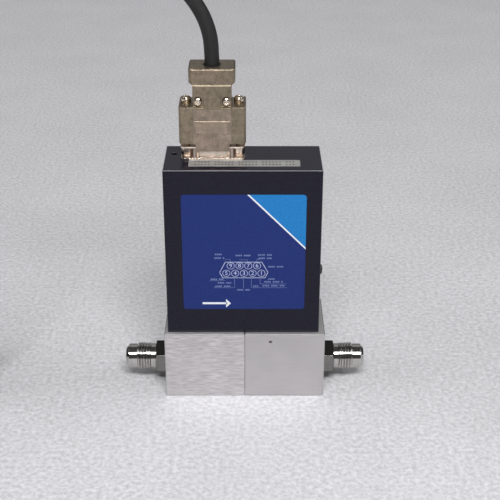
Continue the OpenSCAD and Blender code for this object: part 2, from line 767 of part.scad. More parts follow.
module plunger_seal() {
    color([0.15, 0.15, 0.15]) translate([valve_x, 0, plunger_z]) rod(4.6 - 2*thread_gap, pad_t);
}

module valve_spring() {
    low = plunger_top - spring_well_l + spring_wire/2;
    high = core_z - spring_wire/2;
    steps = 10*spring_turns;
    r = spring_well_d/2 - spring_wire/2 - 0.2;
    color([0.75, 0.75, 0.75])
        tube([for (i = [0:steps]) [valve_x + r*cos(36*i), r*sin(36*i), low + (high - low)*i/steps]],
             spring_wire/2, 8, [0, 0, 1]);
}

// Fixed core above the plunger, with the stud for the yoke's nut
module valve_core() {
    color([0.66, 0.66, 0.68]) translate([valve_x, 0, core_z]) {
        rod(plunger_d, yoke_top - 1 - core_z);
        rod(stud_d, yoke_top + stud_l - core_z);
    }
}

module coil_bobbin() {
    color([0.9, 0.88, 0.8]) translate([valve_x, 0, bobbin_z]) difference() {
        union() {
            rod(guide_d + 2*pass_gap + 2*bobbin_wall, bobbin_h);
            rod(bobbin_d, bobbin_wall);
            translate([0, 0, bobbin_h - bobbin_wall]) rod(bobbin_d, bobbin_wall);
        }
        translate([0, 0, -eps]) rod(guide_d + 2*pass_gap, bobbin_h + 2*eps);
    }
}

module coil_winding() {
    inner = guide_d/2 + pass_gap + bobbin_wall + thread_gap;
    color([0.72, 0.38, 0.2]) translate([valve_x, 0, bobbin_z + bobbin_wall + winding_top_gap/2])
        ring(inner, bobbin_d/2 - 0.5 - inner, bobbin_h - 2*bobbin_wall - winding_top_gap);
}

// Steel yoke folded round the coil; its right side holds a cover screw
module coil_yoke() {
    h = yoke_top - yoke_z;
    color([0.55, 0.56, 0.58]) translate([valve_x, 0, yoke_z]) difference() {
        translate([-yoke_w/2, -yoke_d/2, 0]) cube([yoke_w, yoke_d, h]);
        translate([-yoke_w/2 + yoke_t, -yoke_d, yoke_t]) cube([yoke_w - 2*yoke_t, 2*yoke_d, h - 2*yoke_t]);
        translate([0, 0, -eps]) rod(guide_d + pass_gap, h + 2*eps);
        translate([0, 0, screw_z - yoke_z]) rod_x(screw_d + 2*thread_gap, yoke_w);
    }
}

module yoke_nut() {
    color([0.6, 0.6, 0.6]) translate([valve_x, 0, yoke_top]) difference() {
        hexagon(nut_af, nut_h);
        translate([0, 0, -eps]) rod(stud_d + 2*thread_gap, nut_h + 2*eps);
    }
}

// Two insulated wires from the coil to the main board
module valve_leads() {
    z = yoke_top - yoke_t;
    y = bobbin_d/2 + 0.3;
    color([0.75, 0.15, 0.12]) for (i = [-1, 1])
        tube([[valve_x + 2*i, y, z - 9], [valve_x + 2*i, y + 0.3, z - 4], [valve_x + 2*i, y + 0.3, z + 4],
              [valve_x + 1.6*i, board_y - 1.5, z + 8], [valve_x + 1.6*i, board_y - 1.5, valve_socket_z]],
             0.6, 6, [1, 0, 0]);
}

// ---------- Electronics ----------

// Sheet bracket: a foot on the outlet half and an upright behind the main board
module board_bracket() {
    color([0.7, 0.72, 0.74]) difference() {
        union() {
            span([bracket_x - bracket_w/2, 0, body_h], [bracket_x + bracket_w/2, bracket_back, body_h + bracket_t]);
            span([bracket_x - bracket_w/2, bracket_back - bracket_t, body_h],
                 [bracket_x + bracket_w/2, bracket_back, board_z + 2]);
            span([bracket_x - bracket_w, bracket_back - bracket_t, board_z + 1],
                 [bracket_x + bracket_w, bracket_back, board_top - 4]);
        }
        for (y = bracket_rows) translate([bracket_screw_x, y, body_h - eps])
            rod(screw_d + 2*pass_gap, bracket_t + 2*eps);
        for (z = concat(board_screw_rows, [screw_z]))
            translate([bracket_x, bracket_back - bracket_t - eps, z])
                rod_y(screw_d + 2*thread_gap, bracket_t + 2*eps);
    }
}

// Screws of the bracket's foot, and those that hold the main board to its upright
module bracket_screws() {
    color([0.6, 0.6, 0.6]) {
        for (y = bracket_rows) translate([bracket_screw_x, y, body_h + bracket_t])
            pan_screw(screw_d, screw_head_d, pan_head_h, bracket_t + tap_l - 1);
        for (z = board_screw_rows) translate([bracket_x, board_y, z]) rotate([90, 0, 0])
            pan_screw(screw_d, screw_head_d, pan_head_h, board_t + bracket_t);
    }
}

module main_board() {
    color([0.1, 0.35, 0.2]) difference() {
        span([cover_x - board_w/2, board_y, board_z], [cover_x + board_w/2, board_y + board_t, board_top]);
        for (z = concat(board_screw_rows, [screw_z])) translate([bracket_x, board_y - eps, z])
            rod_y(screw_d + 2*pass_gap, board_t + 2*eps);
    }
}

// Chips [x, z, width, height, thickness] and capacitors [x, z, diameter], measured from the
// cover's middle and from the board's top, and the sockets that the two sets of leads end in
CHIPS = [
    [-14, -20, 18, 7.6, 2.2], [8.6, -22, 10, 8, 1.8], [24, -18, 7.6, 14, 2.2], [-28, -30, 6, 5, 1.6],
    [8, -33, 5, 4, 1.6], [-7, -32, 6, 4, 1.6]
];
CANS = [[30, -6, 6], [22, -5, 5], [-30, -40, 6], [8, -10, 5]];
module board_parts() {
    color([0.12, 0.12, 0.13]) for (c = CHIPS) translate([cover_x + c[0], board_y, board_top + c[1]])
        translate([-c[2]/2, -c[4], -c[3]/2]) cube([c[2], c[4], c[3]]);
    color([0.9, 0.9, 0.85]) {
        socket(sensor_x, sensor_socket_z, 8);
        socket(valve_x, valve_socket_z, 6);
    }
    color([0.3, 0.32, 0.5]) for (c = CANS) translate([cover_x + c[0], board_y - can_h, board_top + c[1]])
        rod_y(c[2], can_h);
}

// Socket on the main board that a set of leads ends in
module socket(x, z, w) {
    span([x - w/2, board_y - socket_d, z], [x + w/2, board_y, z + socket_h]);
}

module connector_board() {
    color([0.1, 0.35, 0.2]) difference() {
        span([connector_board_left, plug_y - 7, connector_board_z],
             [connector_board_right, board_y, connector_board_z + board_t]);
        for (p = PINS) translate([plug_x + p[0], plug_y + p[1], connector_board_z - eps])
            rod(pin_hole_d, board_t + 2*eps);
    }
}

module board_header() {
    color([0.08, 0.08, 0.08]) span([plug_x - header_w/2, board_y - header_h, connector_board_z - header_h],
        [plug_x + header_w/2, board_y, connector_board_z]);
}

module trimmer_body() {
    color([0.15, 0.3, 0.65]) difference() {
        span([trim_x - trim_w/2, board_y - trim_d, trim_top - trim_h], [trim_x + trim_w/2, board_y, trim_top]);
        translate([trim_x, trim_y, trim_top - trim_sink]) rod(trim_screw_d + 2*thread_gap, trim_sink + eps);
    }
}

// Slotted brass screw that sets the zero through the hole in the cover
module trimmer_screw() {
    color([0.8, 0.65, 0.3]) translate([trim_x, trim_y, trim_top - trim_sink]) difference() {
        rod(trim_screw_d, trim_screw_l);
        translate([-trim_screw_d, -0.25, trim_screw_l - 0.7]) cube([2*trim_screw_d, 0.5, 1]);
    }
}

// ---------- Nine-way connector ----------

// Shell through the cover, with its flange on top of the cover
module receptacle_shell() {
    color([0.82, 0.8, 0.76]) translate([plug_x, plug_y, cover_in_top]) difference() {
        union() {
            translate([0, 0, cover_wall]) linear_extrude(flange_t)
                polygon(rounded(rect_points(flange_w, flange_d), 1.5, 4));
            translate([0, 0, -shell_back]) linear_extrude(shell_back + shell_h) polygon(d_points(shell_out));
        }
        translate([0, 0, -shell_back - eps]) linear_extrude(shell_back + shell_h + 2*eps)
            polygon(d_points(shell_in));
        for (side = [-1, 1]) translate([side*jack_pitch/2, 0, cover_wall - eps])
            rod(screw_d + 2*pass_gap, flange_t + 2*eps);
    }
}

module receptacle_insert() {
    color([0.08, 0.08, 0.08]) translate([plug_x, plug_y, insert_z]) difference() {
        union() {
            linear_extrude(insert_h) polygon(d_points(shell_out, 0.3));
            linear_extrude(insert_h + shell_back + 0.8) polygon(d_points(shell_in, -0.1));
        }
        for (p = PINS) translate([p[0], p[1], -eps]) rod(pin_hole_d, insert_h + 4);
    }
}

module receptacle_pins() {
    color([0.85, 0.7, 0.35]) for (p = PINS) translate([plug_x + p[0], plug_y + p[1], pin_z])
        rod(pin_d, pin_top - pin_z);
}

// Hexagonal posts on the flange; their studs end in nuts under the cover
module jack_posts() {
    stud_end = cover_in_top - post_nut_h - 0.5;
    color([0.8, 0.78, 0.74]) for (side = [-1, 1]) translate([plug_x + side*jack_pitch/2, plug_y, 0]) {
        difference() {
            union() {
                translate([0, 0, cover_top + flange_t]) hexagon(post_af, post_h - flange_t);
                translate([0, 0, stud_end]) rod(screw_d, cover_top + flange_t + eps - stud_end);
            }
            translate([0, 0, cover_top + post_h - jack_tip - 1]) rod(jack_d + 2*thread_gap, jack_tip + 1 + eps);
        }
        translate([0, 0, cover_in_top - post_nut_h]) difference() {
            hexagon(post_af, post_nut_h);
            translate([0, 0, -eps]) rod(screw_d + 2*thread_gap, post_nut_h + 2*eps);
        }
    }
}

// ---------- Cover and labels ----------

module cover() {
    color([0.09, 0.09, 0.11]) difference() {
        translate([cover_x, 0, body_h]) intersection() {
            linear_extrude(cover_h) polygon(rounded(rect_points(cover_w, cover_d), cover_r, 3));
            // the top edges are rounded, the open bottom is cut square
            translate([0, cover_d/2, 0]) rotate([90, 0, 0]) linear_extrude(cover_d)
                polygon(concat([[-cover_w/2, 0], [cover_w/2, 0]], top_corners(cover_w)));
            translate([-cover_w/2, 0, 0]) rotate([90, 0, 90]) linear_extrude(cover_w)
                polygon(concat([[-cover_d/2, 0], [cover_d/2, 0]], top_corners(cover_d)));
        }
        span([cover_left, -cover_back, body_h - eps], [cover_right, cover_back, cover_in_top]);
        translate([plug_x, plug_y, cover_in_top - eps]) {
            linear_extrude(cover_wall + 2*eps) polygon(d_points(shell_out, pass_gap));
            for (side = [-1, 1]) translate([side*jack_pitch/2, 0, 0])
                rod(screw_d + 2*pass_gap, cover_wall + 2*eps);
        }
        translate([trim_x, trim_y, cover_in_top - eps]) rod(trim_hole_d, cover_wall + 2*eps);
        translate([cover_right - eps, 0, screw_z]) rod_x(screw_d + 2*pass_gap, cover_wall + 2*eps);
        translate([bracket_x, cover_back - eps, screw_z]) rod_y(screw_d + 2*pass_gap, cover_wall + 2*eps);
    }
}

// The two rounded upper corners of a side view of the cover, w wide
function top_corners(w) = [for (side = [1, -1]) for (k = [0:3])
    let (a = side > 0 ? 30*k : 90 - 30*k)
    [side*(w/2 - cover_r + cover_r*cos(a)), cover_h - cover_r + cover_r*sin(a)]];

// One screw in the right side, one in the back
module cover_screws() {
    color([0.1, 0.1, 0.11]) {
        translate([cover_right + cover_wall, 0, screw_z]) rotate([0, 90, 0])
            pan_screw(screw_d, pan_head_d, pan_head_h, cover_screw_l);
        translate([bracket_x, cover_back + cover_wall, screw_z]) rotate([-90, 0, 0])
            pan_screw(screw_d, pan_head_d, pan_head_h, cover_screw_l);
    }
}

module front_label() {
    color([0.13, 0.2, 0.45]) translate([cover_x + 0.4, -cover_d/2, label_z + label_h/2])
        rotate([90, 0, 0]) linear_extrude(label_t) polygon(rounded(rect_points(label_w, label_h), label_r, 4));
}

module top_label() {
    back = plug_y - flange_d/2 - top_label_gap;
    color([0.78, 0.78, 0.76]) translate([0, back - top_label_d/2, cover_top])
        linear_extrude(label_t) polygon(rounded(rect_points(top_label_w, top_label_d), 0.8, 3));
}

// ---------- Plug and hood ----------
// Drawn about the middle of the mating face, cable along +Z, front to -Y.

module plug_shell_form() {
    difference() {
        union() {
            translate([0, 0, plug_flange_z]) linear_extrude(plug_flange_t)
                polygon(rounded(rect_points(flange_w, flange_d), 1.5, 4));
            translate([0, 0, plug_flange_z - plug_reach])
                linear_extrude(plug_reach + plug_flange_t) polygon(d_points(plug_out));
        }
        translate([0, 0, plug_flange_z - plug_reach - eps])
            linear_extrude(plug_reach + plug_flange_t + 2*eps) polygon(d_points(plug_out, -sheet_t));
        for (side = [-1, 1]) translate([side*jack_pitch/2, 0, plug_flange_z - eps])
            rod(jack_d + 2*pass_gap, plug_flange_t + 2*eps);
    }
}

module plug_insert_form() {
    difference() {
        union() {
            translate([0, 0, plug_flange_z - plug_reach + 0.2]) linear_extrude(plug_reach - 0.2 + plug_flange_t)
                polygon(d_points(plug_out, -sheet_t - thread_gap));
            translate([0, 0, plug_flange_z + plug_flange_t])
                linear_extrude(plug_insert_back) polygon(d_points(plug_out, -seat_gap));
        }
        for (p = PINS) translate([p[0], p[1], plug_flange_z - plug_reach - eps])
            rod(pin_d + 2*thread_gap + 0.2, plug_reach + 2*eps);
    }
}

// Front view of the hood: skirt, body with its shoulders and ears, neck and clamp head
function hood_side() = [
    [skirt_w/2, skirt_z], [skirt_w/2, corner_z], [hood_w/2 - hood_bevel, corner_z],
    [hood_w/2, corner_z + hood_bevel], [hood_w/2, shoulder_z],
    [hood_w/2 - ear_w/2, shoulder_z + ear_h], [hood_w/2 - ear_w, shoulder_z + ear_h],
    [hood_w/2 - ear_w, shoulder_z], [neck_w/2, shoulder_z], [neck_w/2, head_z - neck_step],
    [head_w/2, head_z], [head_w/2, hood_h - hood_bevel], [head_w/2 - hood_bevel, hood_h]
];

module hood_outline() {
    right = hood_side();
    polygon(concat(right, [for (i = [len(right) - 1:-1:0]) [-right[i][0], right[i][1]]]));
}

// One half of the hood, from the middle plane to -Y; side is 1 for the half with the screw heads
module hood_half(side) {
    difference() {
        union() {
            intersection() {
                rotate([90, 0, 0]) linear_extrude(hood_d/2) hood_outline();
                union() {
                    upright(hood_w, body_r, 0, shoulder_z + 2*ear_h);
                    upright(head_w, head_r, shoulder_z + 2*ear_h, hood_h);
                }
            }
            // raised panel down the middle, bevelled at its top, with a band across it
            translate([-neck_w/2, -hood_rise, skirt_z])
                cube([neck_w, hood_rise - 1, corner_z - skirt_z + 0.01]);
            translate([neck_w/2, 0, 0]) rotate([0, -90, 0]) linear_extrude(neck_w) polygon([
                [corner_z, -1], [corner_z, -hood_rise], [head_z - neck_step - panel_rise, -hood_rise],
                [head_z - neck_step, -hood_rise + panel_rise], [head_z - neck_step, -1]]);
            translate([-neck_w/2 + 0.8, -hood_rise - band_rise, band_z])
                cube([neck_w - 1.6, 2, band_h]);
        }
        // skirt's corners stay open to the flange's ears
        for (end = [-1, 1]) translate([end > 0 ? skirt_w/2 : -skirt_w/2 - 4, -hood_d, skirt_z - eps])
            cube([4, 2*hood_d, corner_z - skirt_z + eps]);
        // room for the flange, the insert, the wires and the cable
        translate([-flange_w/2, -flange_d/2 - 0.1, plug_flange_z - 0.05])
            cube([flange_w, flange_d, plug_flange_t + 0.1]);
        translate([-plug_out[0]/2 - seat_gap, -plug_out[1]/2 - seat_gap, skirt_z - eps])
            cube([plug_out[0] + 2*seat_gap, plug_out[1], wire_room_z - skirt_z + 2*eps]);
        translate([-wire_room[0]/2, -wire_room[1]/2, wire_room_z])
            cube([wire_room[0], wire_room[1], cavity_top - wire_room_z]);
        translate([-neck_room/2, -neck_room/2, cavity_top - 1])
            cube([neck_room, neck_room, head_z - cavity_top + 1]);
        translate([0, 0, head_z - 1]) rod(cable_hole_d, head_h + 2);
        translate([0, 0, hood_h - 0.8]) cylinder(d1 = cable_hole_d, d2 = cable_hole_d + 1.8, h = 0.9, $fn = fine);
        // jack screws run through the sides
        for (end = [-1, 1]) translate([end*jack_pitch/2, 0, corner_z - 1])
            rod(jack_d + 2*pass_gap, shoulder_z - corner_z + 2);
        // screws that draw the two halves together
        for (end = [-1, 1]) translate([end*hood_screw_x, 0, hood_screw_z]) {
            rotate([90, 0, 0]) translate([0, 0, -1])
                rod(hood_screw_d + 2*(side > 0 ? pass_gap : thread_gap), side > 0 ? hood_d : hood_d/2 - 1);
        }
        // notches that the heads of these screws lie in, open to the neck's sides
        if (side > 0) for (end = [-1, 1])
            translate([end > 0 ? notch_in : -neck_w/2 - eps, -hood_rise - eps, shoulder_z])
                cube([neck_w/2 - notch_in + eps, hood_screw_sink + eps, notch_h]);
        // bevel on the clamp head's upper edge
        translate([-head_w/2 - eps, 0, 0]) rotate([90, 0, 90]) linear_extrude(head_w + 2*eps) polygon([
            [-hood_d/2 - eps, hood_h - hood_bevel - eps], [hood_bevel + eps - hood_d/2, hood_h + eps],
            [-hood_d/2 - eps, hood_h + eps]]);
    }
}

// Block with the hood's depth and rounded upright edges, from one height to another
module upright(w, r, from, to) {
    translate([0, 0, from]) linear_extrude(to - from) polygon(rounded(rect_points(w, hood_d), r, 4));
}

module hood_front_form() {
    hood_half(1);
}

module hood_rear_form() {
    rotate([0, 0, 180]) hood_half(-1);
}

module hood_screws_form() {
    for (end = [-1, 1]) translate([end*hood_screw_x, -hood_rise + hood_screw_sink, hood_screw_z])
        rotate([90, 0, 0])
            pan_screw(hood_screw_d, hood_screw_head_d, 1.5, hood_rise - hood_screw_sink + 4);
}

module jack_screws_form() {
    for (end = [-1, 1]) translate([end*jack_pitch/2, 0, shoulder_z]) difference() {
        union() {
            rotate_extrude($fn = fine) polygon([
                [0, 0], [jack_head_d/2, 0], [jack_head_d/2, 0.6*jack_head_h],
                [0.42*jack_head_d, 0.85*jack_head_h], [0.28*jack_head_d, jack_head_h], [0, jack_head_h]]);
            translate([0, 0, -shoulder_z + plug_flange_z - jack_tip - 0.2])
                rod(jack_d, shoulder_z - plug_flange_z + jack_tip + 1);
        }
        translate([-jack_head_d, -0.4, jack_head_h - 1.1]) cube([2*jack_head_d, 0.8, 2]);
    }
}

module near() {
    translate([plug_x, plug_y, mate_z]) children();
}

module far() {
    translate(far_plug) rotate([90, 0, -90]) children();
}

module plug_shell() {
    color([0.82, 0.76, 0.7]) near() plug_shell_form();
}

module plug_insert() {
    color([0.1, 0.1, 0.1]) near() plug_insert_form();
}

module hood_front() {
    color([0.56, 0.5, 0.44]) near() hood_front_form();
}

module hood_rear() {
    color([0.52, 0.47, 0.41]) near() hood_rear_form();
}

module hood_screws() {
    color([0.7, 0.64, 0.56]) near() hood_screws_form();
}

module jack_screws() {
    color([0.7, 0.64, 0.56]) near() jack_screws_form();
}

// ---------- Cable ----------

module cable() {
    color([0.1, 0.1, 0.1]) tube(ROUTE, cable_d/2, cable_sides);
}

module cable_tail() {
    color([0.1, 0.1, 0.1]) tube(TAIL, cable_d/2, cable_sides);
}

// Half width of the hank at a distance from its waist
function hank_reach(x) = hank_waist + (hank_bend - hank_waist)*(1 - cos(180*x/hank_half))/2 + 3.5;

module cable_hank() {
    runs = [for (i = [-6:6]) [hank_half*i/6, -hank_reach(hank_half*i/6)]];
    head = [for (a = [-75:15:75]) [hank_half + (hank_bend + 3.5)*cos(a), (hank_bend + 3.5)*sin(a)]];
    outline = concat(runs, head, [for (p = runs) -p], [for (p = head) -p]);
    waist = hank_reach(0);
    color([0.1, 0.1, 0.1]) translate([hank_x, hank_y, 0]) difference() {
        linear_extrude(hank_h) polygon(outline);
        // waist, drawn in by the tie
        for (side = [-1, 1])
            translate([-tie_w/2, side > 0 ? waist : -waist - 5, -eps]) cube([tie_w, 5, hank_h + 2*eps]);
        translate([-tie_w/2, -waist - 1, -eps]) cube([tie_w, 2*waist + 2, tie_t + eps]);
        translate([-tie_w/2, -waist - 1, hank_h - tie_t]) cube([tie_w, 2*waist + 2, tie_t + eps]);
    }
}

module hank_tie() {
    waist = hank_reach(0);
    color([0.16, 0.16, 0.17]) translate([hank_x - tie_w/2, hank_y, hank_h/2]) rotate([90, 0, 90])
        linear_extrude(tie_w) difference() {
            polygon(rounded(rect_points(2*waist + 2*tie_t, hank_h), 1.1, 3));
            polygon(rect_points(2*waist, hank_h - 2*tie_t));
        }
}

module far_plug_shell() {
    color([0.82, 0.76, 0.7]) far() {
        plug_shell_form();
        plug_insert_form();
    }
}

module far_hood_front() {
    color([0.56, 0.5, 0.44]) far() hood_front_form();
}

module far_hood_rear() {
    color([0.52, 0.47, 0.41]) far() hood_rear_form();
}

module far_hood_screws() {
    color([0.7, 0.64, 0.56]) far() hood_screws_form();
}

module far_jack_screws() {
    color([0.7, 0.64, 0.56]) far() jack_screws_form();
}

inlet_block();
outlet_block();
block_seal();
block_bolts();
inlet_fitting();
outlet_fitting();
fitting_seals();
flow_splitter();
sensor_base();
sensor_seals();
sensor_tube();
sensor_windings();
sensor_case();
sensor_screws();
sensor_leads();
valve_orifice();
orifice_seal();
valve_bonnet();
bonnet_seal();
bonnet_screws();
valve_plunger();
plunger_seal();
valve_spring();
valve_core();
coil_bobbin();
coil_winding();
coil_yoke();
yoke_nut();
valve_leads();
board_bracket();
bracket_screws();
main_board();
board_parts();
connector_board();
board_header();
trimmer_body();
trimmer_screw();
receptacle_shell();
receptacle_insert();
receptacle_pins();
jack_posts();
cover();
cover_screws();
front_label();
top_label();
plug_shell();
plug_insert();
hood_front();
hood_rear();
hood_screws();
jack_screws();
cable();
cable_hank();
hank_tie();
cable_tail();
far_plug_shell();
far_hood_front();
far_hood_rear();
far_hood_screws();
far_jack_screws();
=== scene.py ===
# %% [markdown]
# # A mass flow controller
#
# This lesson dresses a gas mass flow controller: a steel flow body with a fitting at each end, a
# dark cover with a blue label, and a metal plug with its cable on top. The solid pieces arrive
# ready made and at their real size. What is left for Blender is how they look, and the soft cable.

import math

import bpy
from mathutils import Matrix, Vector


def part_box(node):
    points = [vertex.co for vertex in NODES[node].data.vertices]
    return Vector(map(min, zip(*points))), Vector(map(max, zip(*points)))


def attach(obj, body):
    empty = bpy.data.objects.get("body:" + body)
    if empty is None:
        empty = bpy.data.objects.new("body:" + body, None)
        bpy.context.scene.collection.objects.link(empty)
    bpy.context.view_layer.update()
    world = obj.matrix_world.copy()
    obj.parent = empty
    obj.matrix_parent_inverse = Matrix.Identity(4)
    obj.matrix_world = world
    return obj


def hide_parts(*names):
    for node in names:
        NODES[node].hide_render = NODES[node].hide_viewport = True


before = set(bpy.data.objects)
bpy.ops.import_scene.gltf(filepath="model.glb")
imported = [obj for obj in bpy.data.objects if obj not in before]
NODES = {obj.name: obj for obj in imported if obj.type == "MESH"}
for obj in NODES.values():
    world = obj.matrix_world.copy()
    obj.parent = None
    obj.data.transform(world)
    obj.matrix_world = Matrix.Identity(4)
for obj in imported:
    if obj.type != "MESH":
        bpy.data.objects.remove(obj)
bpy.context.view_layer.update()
MM = 0.001
BODY = "controller"

# %% [markdown]
# The camera comes first, so that every later step can be judged in its view. A long lens from half
# a metre away keeps the sides of the cover nearly upright while it looks down on the top.

# %% Camera
CAMERA_PLACE = (2.7*MM, -508.8*MM, 320.4*MM)
CAMERA_PITCH = 25.81
CAMERA_LENS = 80.95
SENSOR_WIDTH = 36.0


def place_camera():
    bpy.ops.object.camera_add(
        location=CAMERA_PLACE, rotation=(math.radians(90 - CAMERA_PITCH), 0, 0)
    )
    camera = bpy.context.active_object
    camera.name = "studio_camera"
    camera.data.lens = CAMERA_LENS
    camera.data.sensor_width = SENSOR_WIDTH
    camera.data.clip_start = 0.01
    bpy.context.scene.camera = camera
    return camera


camera = place_camera()
print("lens", camera.data.lens, "mm")

# %% [markdown]
# A cable is a fixed length of something springy. A simulation could drop it on the table, but its line
# is known well enough to be listed where it is free: straight out of the plug, over in an arch and down.
# A second short row of points leads from the hank up to the far plug, which lies on top of it.

# %% The cable's route
CABLE_D = 7*MM
PLUG_X = -15.1
PLUG_Y = 2.9
ROUTE = [
    (PLUG_X, PLUG_Y, 161), (PLUG_X, PLUG_Y, 172), (-16.1, 2.9, 184), (-20.2, 2.8, 195),
    (-28, 2.5, 205.5), (-39.5, 2, 215), (-53, 1, 221.5), (-68, 0, 225), (-83, -1.5, 224),
    (-97, -3.5, 218.5), (-109.5, -6, 209), (-118.5, -8.5, 196), (-124, -11, 181), (-127, -13, 165),
    (-128.5, -14.5, 149), (-129, -16, 133), (-129, -17, 117), (-129, -17.5, 101), (-129, -18, 85),
    (-129.5, -18, 69), (-131, -18, 54), (-135, -18, 39.5), (-142.5, -18, 26), (-153, -18, 14),
    (-166, -18, 6),
]
TAIL = [
    (-272.9, 10.8, 24.7), (-269.8, 16.9, 25.3), (-264.9, 21.8, 26.3), (-258.8, 24.9, 27.6),
    (-252, 26, 29.1), (-245.2, 24.9, 30.7), (-239.1, 21.8, 32.3), (-234.3, 17.1, 33.7),
    (-229.6, 12, 35), (-223.9, 8.3, 36), (-217.6, 5.9, 36.7), (-210.1, 5, 36.9), (-199, 5, 36.9),
]
print(f"{len(ROUTE)} points down to the hank, {len(TAIL)} from it to the far plug")

# %% [markdown]
# The length that is left over is folded into a hank, a long loop laid on itself in layers and drawn
# in at its waist by a strap. Its points are computed, because every layer repeats the one below it,
# and one formula for the straight runs keeps the layers from cutting into each other.

# %% The hank
HANK_X = -212
HANK_Y = 4
HANK_HALF = 40
HANK_BEND = 22
HANK_WAIST = 9.5
HANK_LAYERS = 4
LAYER = 7
WAIST_LAYER = 6.2
STRAP = 1.2
RUN_STEPS = 8
BEND_STEPS = 10


def ease(t):
    """A smooth step from 0 to 1."""
    return (1 - math.cos(math.pi*t))/2


def run_point(along, side, layer):
    """A point on a straight run of the hank, which is drawn in and pressed together at the waist."""
    spread = ease(abs(along)/HANK_HALF)
    low = STRAP + LAYER/2 + WAIST_LAYER*layer
    free = LAYER/2 + LAYER*layer
    reach = HANK_WAIST + (HANK_BEND - HANK_WAIST)*spread
    return (HANK_X + along, HANK_Y + side*reach, low + (free - low)*spread)


def hank_points():
    points = []
    for layer in range(HANK_LAYERS):
        first = 1 if layer == 0 else 0
        for i in range(first, RUN_STEPS + 1):
            points.append(run_point(HANK_HALF*(1 - 2*i/RUN_STEPS), -1, layer))
        top = layer == HANK_LAYERS - 1
        for i in range(1, BEND_STEPS//2 + 1 if top else BEND_STEPS):
            turn = math.radians(270 - 180*i/BEND_STEPS)
            points.append((HANK_X - HANK_HALF + HANK_BEND*math.cos(turn),
                           HANK_Y + HANK_BEND*math.sin(turn), LAYER/2 + LAYER*layer))
        if top:
            break
        for i in range(RUN_STEPS + 1):
            points.append(run_point(-HANK_HALF*(1 - 2*i/RUN_STEPS), 1, layer))
        for i in range(1, BEND_STEPS):
            turn = math.radians(90 - 180*i/BEND_STEPS)
            climb = LAYER*(layer + ease(i/BEND_STEPS))
            points.append((HANK_X + HANK_HALF + HANK_BEND*math.cos(turn),
                           HANK_Y + HANK_BEND*math.sin(turn), LAYER/2 + climb))
    return points


hank = hank_points()
print(f"{len(hank)} points in {HANK_LAYERS} layers")

# %% [markdown]
# A curve through these points only looks like cable if it has no corner. Each span is filled in
# with a cubic whose slope at each point follows from its two neighbours, and the length is then
# added up.

# %% Smooth the route and measure it
SPAN_STEPS = 5


def smooth(points, steps):
    """Points on one smooth curve through all the given ones."""
    knots = [Vector(p)*MM for p in points]
    last = len(knots) - 1

    def slope(i, span):
        if i == 0 or i == last:
            return span
        before, after = knots[i] - knots[i - 1], knots[i + 1] - knots[i]
        return (before + after)/(before.length + after.length)*span.length

    line = []
    for i in range(last):
        span = knots[i + 1] - knots[i]
        start, end = slope(i, span), slope(i + 1, span)
        for k in range(steps):
            t = k/steps
            line.append((2*t**3 - 3*t**2 + 1)*knots[i] + (t**3 - 2*t**2 + t)*start
                        + (3*t**2 - 2*t**3)*knots[i + 1] + (t**3 - t**2)*end)
    return line + [knots[last]]


def line_length(line):
    return sum((b - a).length for a, b in zip(line, line[1:]))


cable_line = smooth(ROUTE + hank + TAIL, SPAN_STEPS)
print(f"the cable's line is {line_length(cable_line):.3f} m long")

# %% [markdown]
# The cable itself is a curve object with one spline and a round bevel. Blender sweeps the circle
# along the line, so the thickness stays even round every bend.

# %% Make the cable
RING_STEPS = 6


def make_cable(line):
    data = bpy.data.curves.new("cable_line", "CURVE")
    data.dimensions = "3D"
    data.bevel_depth = CABLE_D/2
    data.bevel_resolution = RING_STEPS
    data.use_fill_caps = True
    spline = data.splines.new("POLY")
    spline.points.add(len(line) - 1)
    for point, place in zip(spline.points, line):
        point.co = (*place, 1)
    spline.use_smooth = True
    cable = bpy.data.objects.new("cable_jacket", data)
    bpy.context.scene.collection.objects.link(cable)
    return cable


cable = make_cable(cable_line)
print(len(cable_line), "points along the cable")

# %% [markdown]
# ## Finishes
#
# Every finish is a small tree of nodes. It could be painted on an image, but noise over the
# object's own coordinates needs no unwrapping and stays sharp close up. Two helpers start a tree:
# one makes the material, and one stretches noise by another scale along each axis. Noise that is
# stretched along one axis is what makes metal look brushed.

# %% Start a material
def start_material(name, colour, metallic, roughness):
    material = bpy.data.materials.new(name)
    material.use_nodes = True
    shader = material.node_tree.nodes["Principled BSDF"]
    shader.inputs["Base Color"].default_value = (*colour, 1)
    shader.inputs["Metallic"].default_value = metallic
    shader.inputs["Roughness"].default_value = roughness
    return material, shader


def add_noise(material, scale, detail=3.0, roughness=0.55, offset=(0, 0, 0)):
    """Noise over the object's coordinates, stretched by a scale for each axis."""
    nodes, links = material.node_tree.nodes, material.node_tree.links
    place = nodes.new("ShaderNodeTexCoord")
    mapping = nodes.new("ShaderNodeMapping")
    mapping.inputs["Scale"].default_value = scale
    mapping.inputs["Location"].default_value = offset
    noise = nodes.new("ShaderNodeTexNoise")
    noise.inputs["Scale"].default_value = 1.0
    noise.inputs["Detail"].default_value = detail
    noise.inputs["Roughness"].default_value = roughness
    links.new(place.outputs["Object"], mapping.inputs["Vector"])
    links.new(mapping.outputs["Vector"], noise.inputs["Vector"])
    return noise.outputs["Fac"]


print("helpers: start_material, add_noise")

# %% [markdown]
# Three more helpers use the noise. A ramp turns it into a colour between two, a range turns it into
# a number such as a roughness, and a bump turns it into relief. The bevel node under the bump
# rounds the sharp edges of the solid pieces, so that they catch the light as real edges do.

# %% Turn noise into colour, gloss and relief
NOISE_LOW = 0.3
NOISE_HIGH = 0.7
BEVEL_SAMPLES = 6


